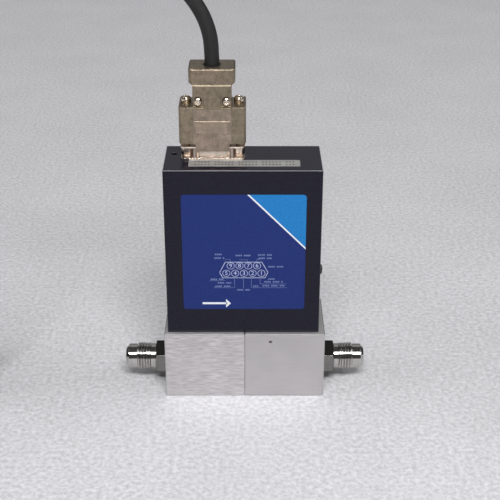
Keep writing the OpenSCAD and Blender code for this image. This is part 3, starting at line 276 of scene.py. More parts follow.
def add_ramp(material, value, low, high, start=0.35, end=0.65):
    """A value between start and end becomes a colour between low and high."""
    ramp = material.node_tree.nodes.new("ShaderNodeValToRGB")
    ramp.color_ramp.elements[0].position = start
    ramp.color_ramp.elements[0].color = (*low, 1)
    ramp.color_ramp.elements[1].position = end
    ramp.color_ramp.elements[1].color = (*high, 1)
    material.node_tree.links.new(value, ramp.inputs["Fac"])
    return ramp.outputs["Color"]


def add_range(material, value, low, high):
    """A value from 0 to 1 becomes a number from low to high."""
    ranged = material.node_tree.nodes.new("ShaderNodeMapRange")
    ranged.inputs["From Min"].default_value = NOISE_LOW
    ranged.inputs["From Max"].default_value = NOISE_HIGH
    ranged.inputs["To Min"].default_value = low
    ranged.inputs["To Max"].default_value = high
    material.node_tree.links.new(value, ranged.inputs["Value"])
    return ranged.outputs["Result"]


def add_relief(material, shader, value, height, edge=0.0):
    """Bump from a value, over edges rounded to the given radius."""
    nodes, links = material.node_tree.nodes, material.node_tree.links
    bump = nodes.new("ShaderNodeBump")
    bump.inputs["Strength"].default_value = 1.0
    bump.inputs["Distance"].default_value = height
    links.new(value, bump.inputs["Height"])
    if edge:
        rounded = nodes.new("ShaderNodeBevel")
        rounded.samples = BEVEL_SAMPLES
        rounded.inputs["Radius"].default_value = edge
        links.new(rounded.outputs["Normal"], bump.inputs["Normal"])
    links.new(bump.outputs["Normal"], shader.inputs["Normal"])


print("helpers: add_ramp, add_range, add_relief")

# %% [markdown]
# ## The flow body
#
# Both halves are stainless steel. Along their upper corner, just under the cover, a narrow band is
# painted dark grey: painted shade that dims the edge's highlight. It could be a second finish on its own
# faces, but the corner has no faces of its own. A window on the height picks it out instead, and a mix
# gives it the darker grey.

# %% Pick out a band, mix colours and dress a piece
def add_window(material, axis, low, high):
    """1 where a coordinate of the object lies between two values, and 0 elsewhere."""
    nodes, links = material.node_tree.nodes, material.node_tree.links
    place = nodes.new("ShaderNodeTexCoord")
    split = nodes.new("ShaderNodeSeparateXYZ")
    links.new(place.outputs["Object"], split.inputs["Vector"])
    inside = nodes.new("ShaderNodeMath")
    inside.operation = "COMPARE"
    inside.inputs[1].default_value = (low + high)/2
    inside.inputs[2].default_value = (high - low)/2
    links.new(split.outputs[axis], inside.inputs[0])
    return inside.outputs[0]


def add_mix(material, value, first, second, blend="MIX"):
    """Goes from the first colour to the second as a value goes from 0 to 1."""
    nodes, links = material.node_tree.nodes, material.node_tree.links
    mix = nodes.new("ShaderNodeMix")
    mix.data_type = "RGBA"
    mix.blend_type = blend
    for socket, source in (("Factor", value), ("A", first), ("B", second)):
        if isinstance(source, (tuple, float)):
            plain = (*source, 1) if isinstance(source, tuple) else source
            mix.inputs[socket].default_value = plain
        else:
            links.new(source, mix.inputs[socket])
    return mix.outputs["Result"]


def shade(grey, tint=(1, 1, 1)):
    return tuple(grey*part for part in tint)


def dress(material, slot, *names):
    """Gives the named solid pieces a finish."""
    for name in names:
        NODES[name].material_slots[0].material = material
    print(f"{slot}: {', '.join(names)}")


print("helpers: add_window, add_mix, shade, dress")

# %% [markdown]
# The steel is brushed along the flow. The inlet half is the coarser one, with short bright streaks,
# and the outlet half is nearly even. The streaks are noise that is stretched along X. A second,
# wide noise keeps a face from looking like one flat grey.

# %% Brushed steel
STEEL_TINT = (1.0, 0.965, 0.975)
BODY_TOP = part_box("inlet_block")[1].z
SHADED_CORNER_BAND = (BODY_TOP - 0.45*MM, BODY_TOP - 0.02*MM)


def brushed_steel(name, dark, light, stretch, relief):
    material, shader = start_material(name, light, 0.8, 0.5)
    links = material.node_tree.links
    streaks = add_noise(material, stretch, detail=4.0, roughness=0.6)
    cloud = add_noise(material, (45, 45, 45), detail=2.0)
    colour = add_mix(
        material, 0.6, add_ramp(material, streaks, dark, light, 0.3, 0.7),
        add_ramp(material, cloud, shade(0.86), shade(1.0)), "MULTIPLY"
    )
    # Painted shade: a narrow band along the upper corner, under the cover, is mixed to dark grey.
    corner = add_window(material, "Z", *SHADED_CORNER_BAND)
    links.new(add_mix(material, corner, colour, shade(0.2)), shader.inputs["Base Color"])
    links.new(add_range(material, streaks, 0.46, 0.6), shader.inputs["Roughness"])
    add_relief(material, shader, streaks, relief, 0.15*MM)
    return material


coarse_steel = brushed_steel("coarse_brushed_steel", shade(0.485, STEEL_TINT), shade(0.8, STEEL_TINT),
                             (170, 1100, 1100), 0.035*MM)
fine_steel = brushed_steel("fine_brushed_steel", shade(0.53, STEEL_TINT), shade(0.6, STEEL_TINT),
                           (120, 2600, 2600), 0.006*MM)
dress(coarse_steel, "block_steel", "inlet_block")
dress(fine_steel, "block_steel", "outlet_block")

# %% [markdown]
# ## Fittings and screws
#
# A fitting is turned on a lathe, so its tool marks run round the flow axis. Noise that changes
# quickly along X and hardly at all across it gives rings. All the metals that follow are made this
# way, by one helper in which colour, gloss and relief come from the same noise. A second helper
# gives a part of a finished material another colour.

# %% A metal, and a colour for a part of it
def metal(name, dark, light, roughness, stretch, relief, edge=0.0, metallic=1.0):
    """A metal whose colour, gloss and relief all follow the same stretched noise."""
    material, shader = start_material(name, light, metallic, roughness)
    grain = add_noise(material, stretch)
    links = material.node_tree.links
    links.new(add_ramp(material, grain, dark, light), shader.inputs["Base Color"])
    links.new(add_range(material, grain, roughness*0.8, roughness*1.25), shader.inputs["Roughness"])
    add_relief(material, shader, grain, relief, edge)
    return material


def recolour(material, mask, colour):
    """Gives a finished material another colour where the mask is 1."""
    shader = material.node_tree.nodes["Principled BSDF"]
    before = shader.inputs["Base Color"].links[0].from_socket
    mixed = add_mix(material, mask, before, colour)
    material.node_tree.links.new(mixed, shader.inputs["Base Color"])


print("helpers: metal, recolour")

# %% [markdown]
# The fittings are much brighter than the body, and their low roughness is what draws the narrow
# highlight along them. The hexagon is milled, and its colour is painted much darker: a painted dark
# reflection on its flats. So the colour changes where it ends.

# %% Turned steel
FITTING_TINT = (1.0, 0.975, 0.94)
END_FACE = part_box("outlet_block")[1].x
HEX_T = 6*MM
turned_steel = metal("turned_steel", shade(0.44, FITTING_TINT), shade(0.58, FITTING_TINT), 0.09,
                     (5200, 60, 60), 0.004*MM, 0.15*MM)
# Painted reflection: the hexagon's flats get a much darker colour in place of the dark surroundings they
# reflect.
painted_dark_hexagon = add_window(turned_steel, "X", -END_FACE - HEX_T, END_FACE + HEX_T)
recolour(turned_steel, painted_dark_hexagon, shade(0.2, FITTING_TINT))
dress(turned_steel, "fitting_steel", "inlet_fitting", "outlet_fitting")

# %% [markdown]
# New pieces are made with the same operators that the menus call. An operator acts on all that is
# selected, so everything is deselected first. When a piece is finished its place goes into its
# mesh, and pieces of one colour are joined, get their finish and ride on the controller's body.

# %% Helpers for new pieces
def deselect():
    if bpy.context.mode != "OBJECT":
        bpy.ops.object.mode_set(mode="OBJECT")
    bpy.ops.object.select_all(action="DESELECT")


def pick(piece):
    """Makes one piece the only one that is selected."""
    deselect()
    piece.select_set(True)
    bpy.context.view_layer.objects.active = piece


def settle(piece):
    """Puts a piece's place into its mesh, so that its object sits at the origin."""
    pick(piece)
    bpy.ops.object.transform_apply(location=True, rotation=True, scale=True)
    return piece


def open_mesh(piece):
    """Opens a piece's mesh for editing, with all of it selected."""
    pick(piece)
    bpy.ops.object.mode_set(mode="EDIT")
    bpy.ops.mesh.select_all(action="SELECT")


def join(name, pieces, material):
    """Makes one piece of several, gives it its finish and lets it ride on the controller."""
    deselect()
    for piece in pieces:
        piece.select_set(True)
    bpy.context.view_layer.objects.active = pieces[0]
    if len(pieces) > 1:
        bpy.ops.object.join()
    whole = bpy.context.active_object
    whole.name = name
    whole.data.materials.clear()
    whole.data.materials.append(material)
    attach(whole, BODY)
    print(f"{name}: {len(whole.data.polygons)} faces")
    return whole


print("helpers: deselect, pick, settle, open_mesh, join")

# %% [markdown]
# Between the solid's three ridges and the hexagon the real thread runs on for two more turns. It
# could be swept along a helix, but so fine a thread looks like a row of rings, and rings are
# simpler. Each is a torus with a four-sided section: a sloping front, a sloping back and, once its
# outer edge is bevelled, a narrow flat between them.

# %% Two more turns of thread
FITTING_LOW, FITTING_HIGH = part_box("outlet_fitting")
FLOW_Z = (FITTING_LOW.z + FITTING_HIGH.z)/2
SHANK_R = 6.45*MM
THREAD_R = 7.145*MM
RIDGE_FLAT = 0.3*MM
CREST = 0.05*MM
THREAD_SEGMENTS = 72
RIDGES = (9.25*MM, 10.66*MM)


def thread_ridge(x):
    deselect()
    bpy.ops.mesh.primitive_torus_add(
        location=(x, 0, FLOW_Z), rotation=(0, math.radians(90), 0), major_segments=THREAD_SEGMENTS,
        minor_segments=4, major_radius=SHANK_R, minor_radius=THREAD_R - SHANK_R
    )
    ridge = settle(bpy.context.active_object)
    for vertex in ridge.data.vertices:
        vertex.select = math.hypot(vertex.co.y, vertex.co.z - FLOW_Z) > THREAD_R - CREST
    for edge in ridge.data.edges:
        edge.select = all(ridge.data.vertices[v].select for v in edge.vertices)
    for face in ridge.data.polygons:
        face.select = False
    bpy.ops.object.mode_set(mode="EDIT")
    bpy.ops.mesh.bevel(offset=RIDGE_FLAT, segments=1, affect="EDGES")
    bpy.ops.object.mode_set(mode="OBJECT")
    return ridge


for side, name in ((-1, "inlet_thread"), (1, "outlet_thread")):
    join(name, [thread_ridge(side*(END_FACE + x)) for x in RIDGES], turned_steel)

# %% [markdown]
# The bolts and the screws inside are bright steel. The two that hold the cover, one on its right side
# and one at its back, are blackened. Their finish is only partly metallic, and almost as dark as the
# lacquer round them.

# %% Screws
screw_steel = metal("screw_steel", shade(0.45), shade(0.6), 0.3, (900, 900, 900), 0.004*MM, 0.1*MM)
dress(screw_steel, "screw_steel", "block_bolts", "bonnet_screws", "sensor_screws", "bracket_screws",
      "yoke_nut")

black_screw = metal("black_screw", shade(0.02), shade(0.035), 0.35,
                    (1500, 1500, 1500), 0.004*MM, 0.1*MM, 0.3)
dress(black_screw, "cover_screw_black", "cover_screws")

# %% [markdown]
# ## The cover
#
# The cover is folded sheet under a fine satin lacquer. To the shader a lacquer is a plastic: it has
# no metal in it, and its grain is so fine that it only softens the gloss. Rubber, wire covers and
# printing inks are made the same way further down, so the helper comes first.

# %% A plastic
def plastic(name, dark, light, roughness, scale, relief, edge=0.0, gloss=0.5):
    """A moulded or painted surface with an even, fine grain."""
    material, shader = start_material(name, light, 0.0, roughness)
    shader.inputs["Specular IOR Level"].default_value = gloss
    grain = add_noise(material, (scale, scale, scale))
    links = material.node_tree.links
    links.new(add_ramp(material, grain, dark, light), shader.inputs["Base Color"])
    add_relief(material, shader, grain, relief, edge)
    return material


print("helper: plastic")

# %% [markdown]
# The lacquer is nearly black with a touch of blue, and reflects less than bare plastic. Along the upper
# fold a narrow band of it is painted grey: a painted highlight on the rounded edge.

# %% Satin lacquer
COVER_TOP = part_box("cover")[1].z
FOLD_HIGHLIGHT_BAND = (COVER_TOP - 0.32*MM, COVER_TOP - 0.16*MM)
satin_black = plastic("satin_black_lacquer", (0.004, 0.0036, 0.011), (0.006, 0.0054, 0.016), 0.24,
                      2600, 0.004*MM, 0.25*MM, 0.25)
# Painted highlight: a narrow grey band along the upper fold.
recolour(satin_black, add_window(satin_black, "Z", *FOLD_HIGHLIGHT_BAND), shade(0.3))
dress(satin_black, "cover_paint", "cover")

# %% [markdown]
# ## The hood, its plug and the posts
#
# The hood is cast zinc with a satin nickel plate, which looks warmer and darker than steel. Casting
# leaves a soft unevenness, so the noise is wide and the relief low. The middle panel is a little pinker
# than the rest, and the sides and all above the shoulder are painted darker: painted shade. Two windows,
# one on X and one on Z, are multiplied to find the panel.

# %% Cast nickel
HOOD_TINT = (1.0, 0.84, 0.68)
PANEL_HALF = 9.1
SHOULDER_Z = 150
PANEL_TINT = (1.0, 0.93, 0.93)
# Painted shade: the hood's sides and all above the shoulder get this darker tint.
SHADED_SIDE_TINT = (0.77, 0.75, 0.69)


def add_product(material, first, second):
    both = material.node_tree.nodes.new("ShaderNodeMath")
    both.operation = "MULTIPLY"
    material.node_tree.links.new(first, both.inputs[0])
    material.node_tree.links.new(second, both.inputs[1])
    return both.outputs[0]


def cast_nickel():
    material, shader = start_material("cast_nickel", shade(0.4, HOOD_TINT), 0.95, 0.34)
    links = material.node_tree.links
    cast = add_noise(material, (420, 420, 420), detail=4.0, roughness=0.65)
    tarnish = add_noise(material, (90, 90, 70), detail=3.0)
    panel = add_product(
        material, add_window(material, "X", (PLUG_X - PANEL_HALF)*MM, (PLUG_X + PANEL_HALF)*MM),
        add_window(material, "Z", 0, SHOULDER_Z*MM)
    )
    plate = add_mix(
        material, 0.7, add_ramp(material, cast, shade(0.31, HOOD_TINT), shade(0.49, HOOD_TINT)),
        add_ramp(material, tarnish, (0.72, 0.78, 0.72), (1, 0.97, 0.96)), "MULTIPLY"
    )
    links.new(add_mix(material, 1.0, plate, add_mix(material, panel, SHADED_SIDE_TINT, PANEL_TINT), "MULTIPLY"),
              shader.inputs["Base Color"])
    links.new(add_range(material, cast, 0.26, 0.42), shader.inputs["Roughness"])
    add_relief(material, shader, cast, 0.06*MM, 0.35*MM)
    return material


hood_nickel = cast_nickel()
dress(hood_nickel, "hood_nickel", "hood_front", "hood_rear", "far_hood_front", "far_hood_rear")

# %% [markdown]
# The screws and the sheet metal of the plug have the same plate on a smooth surface, and are
# brighter and glossier. The plain metal helper is enough for them, with a warm tint.

# %% Bright nickel
SCREW_TINT = (1, 0.87, 0.72)
SHELL_TINT = (1, 0.86, 0.75)
bright_nickel = metal("bright_nickel", shade(0.62, SCREW_TINT), shade(0.84, SCREW_TINT), 0.2,
                      (700, 700, 700), 0.006*MM, 0.15*MM)
dress(bright_nickel, "hood_screw_nickel", "hood_screws", "jack_screws", "far_hood_screws",
      "far_jack_screws")

shell_plate = metal("shell_plate", shade(0.78, SHELL_TINT), shade(0.98, SHELL_TINT), 0.2,
                    (500, 500, 500), 0.004*MM, 0.15*MM)
dress(shell_plate, "shell_plate", "receptacle_shell", "jack_posts", "plug_shell", "far_plug_shell")

# %% [markdown]
# ## Inside
#
# The closed cover hides the sensor, the valve and the boards, but they are real pieces and get real
# finishes. The metals differ in colour, gloss and the way their marks run. The plunger and the core
# are turned upright, so their noise changes quickly along Z and gives rings. On the coil the same
# rings are much finer and stand for the turns of its wire. One loop over a table dresses them all.

# %% Inner metals
INNER_METALS = [
    ("machined_steel", "inner_steel", shade(0.52), shade(0.68), 0.3, (300, 1800, 300), 0.006*MM, 0.2*MM,
     ("flow_splitter", "sensor_base", "sensor_tube", "valve_orifice", "valve_bonnet")),
    ("soft_iron", "magnet_steel", (0.38, 0.37, 0.37), (0.52, 0.51, 0.5), 0.4, (700, 700, 2400), 0.008*MM,
     0.2*MM, ("valve_plunger", "valve_core", "coil_yoke")),
    ("spring_wire", "spring_steel", shade(0.6), shade(0.75), 0.22, (1500, 1500, 1500), 0.003*MM, 0.0,
     ("valve_spring",)),
    ("ring_metal", "seal_metal", shade(0.66), shade(0.8), 0.24, (1200, 1200, 1200), 0.003*MM, 0.0,
     ("block_seal", "fitting_seals", "bonnet_seal")),
    ("sheet_metal", "case_aluminium", shade(0.6), shade(0.74), 0.34, (1400, 300, 300), 0.004*MM, 0.15*MM,
     ("sensor_case", "board_bracket")),
    ("enamelled_wire", "copper_wire", (0.42, 0.16, 0.06), (0.68, 0.3, 0.12), 0.28, (60, 60, 5200),
     0.02*MM, 0.0, ("coil_winding", "sensor_windings")),
    ("turned_brass", "brass", (0.55, 0.38, 0.14), (0.75, 0.56, 0.26), 0.24, (900, 900, 3000), 0.004*MM,
     0.1*MM, ("trimmer_screw",)),
    ("gold_plate", "pin_gold", (0.68, 0.46, 0.16), (0.86, 0.64, 0.26), 0.18, (900, 900, 900), 0.002*MM,
     0.0, ("receptacle_pins",)),
]
for name, slot, dark, light, roughness, stretch, height, edge, pieces in INNER_METALS:
    dress(metal(name, dark, light, roughness, stretch, height, edge), slot, *pieces)

# %% [markdown]
# Rubber, wire covers, the bobbin, the boards and their chips are all plastics to the shader. They
# differ in colour and gloss only and share one fine grain, so their table is shorter.

# %% Inner plastics and boards
INNER_PLASTICS = [
    ("seal_rubber", (0.02, 0.02, 0.02), (0.035, 0.035, 0.035), 0.6,
     ("sensor_seals", "orifice_seal", "plunger_seal")),
    ("wire_cover", (0.45, 0.06, 0.03), (0.6, 0.1, 0.05), 0.4, ("sensor_leads", "valve_leads")),
    ("bobbin_plastic", (0.72, 0.68, 0.58), (0.84, 0.8, 0.7), 0.4, ("coil_bobbin",)),
    ("board_green", (0.012, 0.075, 0.032), (0.02, 0.12, 0.05), 0.3, ("main_board", "connector_board")),
    ("chip_black", (0.015, 0.015, 0.016), (0.03, 0.03, 0.032), 0.5, ("board_parts", "board_header")),
    ("trimmer_blue", (0.02, 0.07, 0.32), (0.03, 0.1, 0.42), 0.35, ("trimmer_body",)),
    ("insert_black", (0.012, 0.012, 0.012), (0.022, 0.022, 0.022), 0.4,
     ("receptacle_insert", "plug_insert")),
]
for slot, dark, light, roughness, pieces in INNER_PLASTICS:
    dress(plastic(slot, dark, light, roughness, 1800, 0.01*MM, 0.1*MM), slot, *pieces)

# %% [markdown]
# ## The cable's jacket and the strap
#
# The jacket is a soft matte black plastic with faint scuffs. Noise with much fine detail makes the
# scuffs, and where they are the jacket is a shade paler and less glossy.

# %% Jacket
def cable_jacket():
    material, shader = start_material("cable_jacket", (0.012, 0.012, 0.013), 0.0, 0.55)
    links = material.node_tree.links
    scuffs = add_noise(material, (380, 380, 380), detail=5.0, roughness=0.7)
    links.new(add_ramp(material, scuffs, (0.005, 0.005, 0.0055), (0.012, 0.012, 0.0135), 0.4, 0.75),
              shader.inputs["Base Color"])
    links.new(add_range(material, scuffs, 0.48, 0.66), shader.inputs["Roughness"])
    add_relief(material, shader, scuffs, 0.03*MM)
    return material


cable.data.materials.append(cable_jacket())
print(f"{cable.name} has the finish {cable.data.materials[0].name}")

# %% [markdown]
# The strap is woven hook and loop tape. Modelling threads would take far too many faces for so
# small a piece. Two fine waves that cross at right angles, one along the strap and one up its side,
# look woven.

# %% Weave
WEAVE_SCALE = 420
WEAVE_WOBBLE = 1.5


def woven_strap():
    material, shader = start_material("woven_strap", (0.02, 0.02, 0.02), 0.0, 0.85)
    nodes, links = material.node_tree.nodes, material.node_tree.links
    place = nodes.new("ShaderNodeTexCoord")
    threads = []
    for direction in ("X", "Z"):
        wave = nodes.new("ShaderNodeTexWave")
        wave.bands_direction = direction
        wave.inputs["Scale"].default_value = WEAVE_SCALE
        wave.inputs["Distortion"].default_value = WEAVE_WOBBLE
        links.new(place.outputs["Object"], wave.inputs["Vector"])
        threads.append(wave.outputs["Fac"])
    weave = add_product(material, *threads)
    links.new(add_ramp(material, weave, (0.01, 0.01, 0.011), (0.045, 0.045, 0.048), 0.1, 0.8),
              shader.inputs["Base Color"])
    add_relief(material, shader, weave, 0.15*MM)
    return material


dress(woven_strap(), "tie_strap", "hank_tie")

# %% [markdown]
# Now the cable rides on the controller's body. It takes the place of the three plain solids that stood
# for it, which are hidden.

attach(cable, BODY)
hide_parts("cable", "cable_hank", "cable_tail")

# %% [markdown]
# ## The front label
#
# The label is printed film. Its inks are smooth and have little gloss of their own. They could be
# one image on one sheet, but flat shapes stay sharp however near one looks, and each keeps its own
# finish.

# %% Print colours
def print_ink(name, dark, light, roughness=0.32):
    return plastic(name, dark, light, roughness, 900, 0.002*MM, gloss=0.2)


navy = print_ink("ink_navy", (0.0085, 0.0225, 0.136), (0.0115, 0.0275, 0.158))
sky = print_ink("ink_sky", (0.012, 0.168, 0.46), (0.016, 0.195, 0.51))
white = print_ink("ink_white", (0.68, 0.72, 0.78), (0.78, 0.81, 0.86))
thin_white = print_ink("ink_thin_white", (0.42, 0.47, 0.68), (0.52, 0.57, 0.78))
pale = print_ink("ink_pale", (0.13, 0.17, 0.36), (0.17, 0.22, 0.44))
print("inks:", [ink.name for ink in (navy, sky, white, thin_white, pale)])

# %% [markdown]
# Each colour is its own thin sheet, a few hundredths of a millimetre above the one under it, so
# that no two faces share a plane. A sheet starts as a plane at its size and place. Its corners are
# rounded with a bevel, and a field with a slanted side is cut out with a bisect.

# %% Helpers for flat shapes
LABEL_LOW, LABEL_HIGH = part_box("front_label")
LABEL_X = (LABEL_LOW.x + LABEL_HIGH.x)/2
LABEL_Z = (LABEL_LOW.z + LABEL_HIGH.z)/2
LABEL_W = LABEL_HIGH.x - LABEL_LOW.x
LABEL_H = LABEL_HIGH.z - LABEL_LOW.z
LABEL_Y = LABEL_LOW.y
INK = 0.02*MM


def upright_sheet(name, x, z, width, height, layer, turn=0.0):
    """A flat rectangle that faces the front, on a print layer."""
    deselect()
    bpy.ops.mesh.primitive_plane_add(size=1, location=(x, LABEL_Y - INK*layer, z),
                                     rotation=(math.radians(90), math.radians(turn), 0))
    piece = bpy.context.active_object
    piece.name = name
    piece.scale = (width, height, 1)
    return settle(piece)


def round_corners(piece, radius, segments=5):
    """Rounds the corners of a flat sheet."""
    open_mesh(piece)
    bpy.ops.mesh.bevel(offset=radius, segments=segments, affect="VERTICES")
    bpy.ops.object.mode_set(mode="OBJECT")
    return piece


def cut(piece, point, normal):
    """Cuts a sheet along a plane and keeps the side that the normal points away from."""
    open_mesh(piece)
    bpy.ops.mesh.bisect(plane_co=point, plane_no=normal, clear_outer=True)
    bpy.ops.object.mode_set(mode="OBJECT")
    return piece


print(f"the label is {LABEL_W/MM:.1f} by {LABEL_H/MM:.1f} mm")

# %% [markdown]
# The film is navy, and it is extruded to its thickness, since it takes the place of the solid
# label. Its light corner is a copy of the whole label cut along the slant, so that its other sides
# and its rounded corner match the label's exactly. The white stripe is another copy, cut twice
# along the same slant.

# %% The label's film, its light corner and the stripe
LABEL_R = 1.6*MM
FILM = 0.14*MM
STRIPE_W = 0.75*MM
STRIPE_X = 1.9*MM
STRIPE_Z = 83.3*MM
stripe_start = Vector((STRIPE_X, LABEL_Y, LABEL_HIGH.z))
stripe_end = Vector((LABEL_HIGH.x, LABEL_Y, STRIPE_Z))
along = (stripe_end - stripe_start).normalized()
away = Vector((along.z, 0, -along.x))
if away.z < 0:
    away = -away

film = round_corners(upright_sheet("label_film", LABEL_X, LABEL_Z, LABEL_W, LABEL_H, 0), LABEL_R)
open_mesh(film)
bpy.ops.mesh.extrude_region_move(TRANSFORM_OT_translate={"value": (0, FILM, 0)})
bpy.ops.mesh.select_all(action="SELECT")
bpy.ops.mesh.normals_make_consistent(inside=False)
bpy.ops.object.mode_set(mode="OBJECT")
film = join("label_film", [film], navy)
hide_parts("front_label")

corner = round_corners(upright_sheet("label_corner", LABEL_X, LABEL_Z, LABEL_W, LABEL_H, 1), LABEL_R)
cut(corner, stripe_start, -away)
join("label_corner", [corner], sky)

stripe = round_corners(upright_sheet("label_stripe", LABEL_X, LABEL_Z, LABEL_W, LABEL_H, 2), LABEL_R)
cut(stripe, stripe_start + away*STRIPE_W/2, away)
cut(stripe, stripe_start - away*STRIPE_W/2, -away)
join("label_stripe", [stripe], white)

# %% [markdown]
# The diagram shows the connector as one looks into it: an outline with six corners, a ring for each
# pin and the pin's number. A line is a thin sheet laid from one point to the next. A ring is a disc
# whose middle is inset and deleted. A number is a text object turned into a mesh.

# %% Lines, rings and numbers
LINE = 0.28*MM
RING_VERTICES = 28
TEXT_STEPS = 3


def line_sheet(start, end, width=LINE, layer=2):
    """A thin line between two points of the label, given in millimetres from the body's middle."""
    dx, dz = (end[0] - start[0])*MM, (end[1] - start[1])*MM
    x, z = (start[0] + end[0])/2*MM, (start[1] + end[1])/2*MM
    length = math.hypot(dx, dz) + width
    return upright_sheet("line", x, z, length, width, layer, -math.degrees(math.atan2(dz, dx)))


def ring_sheet(x, z, radius, width):
    """A flat ring on the label."""
    deselect()
    bpy.ops.mesh.primitive_circle_add(vertices=RING_VERTICES, radius=radius*MM, fill_type="NGON",
                                      location=(x*MM, LABEL_Y - 2*INK, z*MM),
                                      rotation=(math.radians(90), 0, 0))
    ring = bpy.context.active_object
    open_mesh(ring)
    bpy.ops.mesh.inset(thickness=width*MM)
    bpy.ops.mesh.delete(type="FACE")
    bpy.ops.object.mode_set(mode="OBJECT")
    return settle(ring)


def number_sheet(text, x, z, height):
    """A plain number on the label."""
    deselect()
    bpy.ops.object.text_add(location=(x*MM, LABEL_Y - 2*INK, z*MM), rotation=(math.radians(90), 0, 0))
    number = bpy.context.active_object
    number.data.body = text
    number.data.size = height*MM
    number.data.align_x = "CENTER"
    number.data.align_y = "CENTER"
    number.data.resolution_u = TEXT_STEPS
    bpy.ops.object.convert(target="MESH")
    return settle(bpy.context.active_object)


print("helpers: line_sheet, ring_sheet, number_sheet")

# %% [markdown]
# The nine pins stand in a row of four over a row of five, so their places follow from one step.
# Seen from the socket's side they count from right to left.

# %% The pin diagram
DIAGRAM_X = -0.3
ROW_TOP = 73.9
ROW_LOW = 69.8
PIN_STEP = 4.3
PIN_R = 1.9
PIN_LINE = 0.22
NUMBER_H = 3.1
OUTLINE = [(-9.1, 75.9), (8.8, 75.9), (11.8, 70.3), (10.4, 67.3), (-10.4, 67.3), (-11.9, 70.3)]
pins = [("9876"[i], (i - 1.5)*PIN_STEP, ROW_TOP) for i in range(4)]
pins += [("54321"[i], (i - 2)*PIN_STEP, ROW_LOW) for i in range(5)]
diagram = []
for start, end in zip(OUTLINE, OUTLINE[1:] + OUTLINE[:1]):
    diagram.append(line_sheet((DIAGRAM_X + start[0], start[1]), (DIAGRAM_X + end[0], end[1])))
for text, x, z in pins:
    diagram.append(ring_sheet(DIAGRAM_X + x, z, PIN_R, PIN_LINE))
    diagram.append(number_sheet(text, DIAGRAM_X + x, z, NUMBER_H))
join("label_diagram", diagram, thin_white)

# %% [markdown]
# Leader lines run from the pins to their names. The names are too small to be read, so each is a
# row of small marks with gaps, which gives the same grey texture at this size. A few long planes
# would look like bars instead of print.

# %% Leader lines and rows of marks
LEADERS = [
    [(-6.6, 75.9), (-6.6, 77.4), (-9.2, 77.4)], [(-2.2, 77.2), (1.8, 77.2), (1.8, 75.9)],
    [(6.3, 75.9), (6.3, 77.4), (8, 77.4)], [(-17, 65.7), (-9.2, 65.7)],
    [(-15, 61.8), (-4.6, 61.8), (-4.6, 67.3)], [(-0.2, 67.3), (-0.2, 61.5)],
    [(3.7, 67.3), (3.7, 61.8), (21.2, 61.8)], [(8, 67.3), (8, 63.9), (20.8, 63.9)],
]
WORDS = [
    (-12, 80.1, 4.4), (-12, 78.1, 5), (0, 79.5, 8.2), (10.3, 79.8, 7), (10.3, 78, 6.6),
    (16, 73.4, 8.2), (-13.2, 66.5, 6.4), (-9.6, 64.5, 6.8), (-10, 62.6, 8.4), (13.9, 66.6, 4.2),
    (14.6, 65.1, 9.2), (5.8, 62.7, 2.8), (14.6, 62.9, 11), (-0.2, 60.6, 6.4),
]
WORD_H = 0.8
LETTER = 0.85
MARK_W = 0.62
WORD_LETTERS = 5
LEADER_W = 0.18*MM
small = []
for leader in LEADERS:
    for start, end in zip(leader, leader[1:]):
        small.append(line_sheet((DIAGRAM_X + start[0], start[1]),
                                (DIAGRAM_X + end[0], end[1]), LEADER_W))
for x, z, width in WORDS:
    marks = max(2, round(width/LETTER))
    for i in range(marks):
        if i % WORD_LETTERS == WORD_LETTERS - 1:
            continue
        place = DIAGRAM_X + x + (i + 0.5)*width/marks - width/2
        small.append(upright_sheet("mark", place*MM, z*MM, MARK_W*MM, WORD_H*MM, 2))
join("label_leaders", small, pale)

# %% [markdown]
# An arrow in the lower corner shows which way the gas flows. Its head is a square stood on its
# corner, with the half that would lie over the shaft cut away.

# %% The flow arrow
ARROW_Z = 53.1
ARROW_START = -20.3
ARROW_END = -9.2
ARROW_HEAD = 3.4
ARROW_W = 1.1*MM
head = upright_sheet("arrow_head", ARROW_END*MM, ARROW_Z*MM, ARROW_HEAD*MM, ARROW_HEAD*MM, 2, 45)
cut(head, Vector((ARROW_END*MM, LABEL_Y, ARROW_Z*MM)), Vector((-1, 0, 0)))
shaft = line_sheet((ARROW_START, ARROW_Z), (ARROW_END, ARROW_Z), ARROW_W)
join("label_arrow", [shaft, head], white)

# %% [markdown]
# ## The top label
#
# The strip beside the connector is silver film, a little scratched along its length. It is only
# partly metallic, because a clear sheet covers the silver.

# %% Silver film
silver_film = metal("silver_film", (0.29, 0.288, 0.28), (0.44, 0.434, 0.42), 0.42,
                    (160, 900, 900), 0.006*MM, 0.0, 0.35)
dress(silver_film, "label_silver", "top_label")

# %% [markdown]
# Two rows of small dark marks stand where the strip is printed. They are planes that face upwards,
# left out at every seventh place, so that the rows break into words.

# %% Marks on the strip
STRIP_LOW, STRIP_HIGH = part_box("top_label")
STRIP_ROWS = (0.27, 0.68)
STRIP_MARKS = 30
WORD_STEP = 7
STRIP_MARK_W = 0.8*MM
STRIP_MARK_D = 1.2*MM
STRIP_MARGIN = 0.06
grey = print_ink("ink_grey", shade(0.03), shade(0.045))


def level_sheet(x, y, width, depth):
    """A flat rectangle that lies on the strip."""
    deselect()
    bpy.ops.mesh.primitive_plane_add(size=1, location=(x, y, STRIP_HIGH.z + INK))
    piece = bpy.context.active_object
    piece.name = "mark"
    piece.scale = (width, depth, 1)
    return settle(piece)


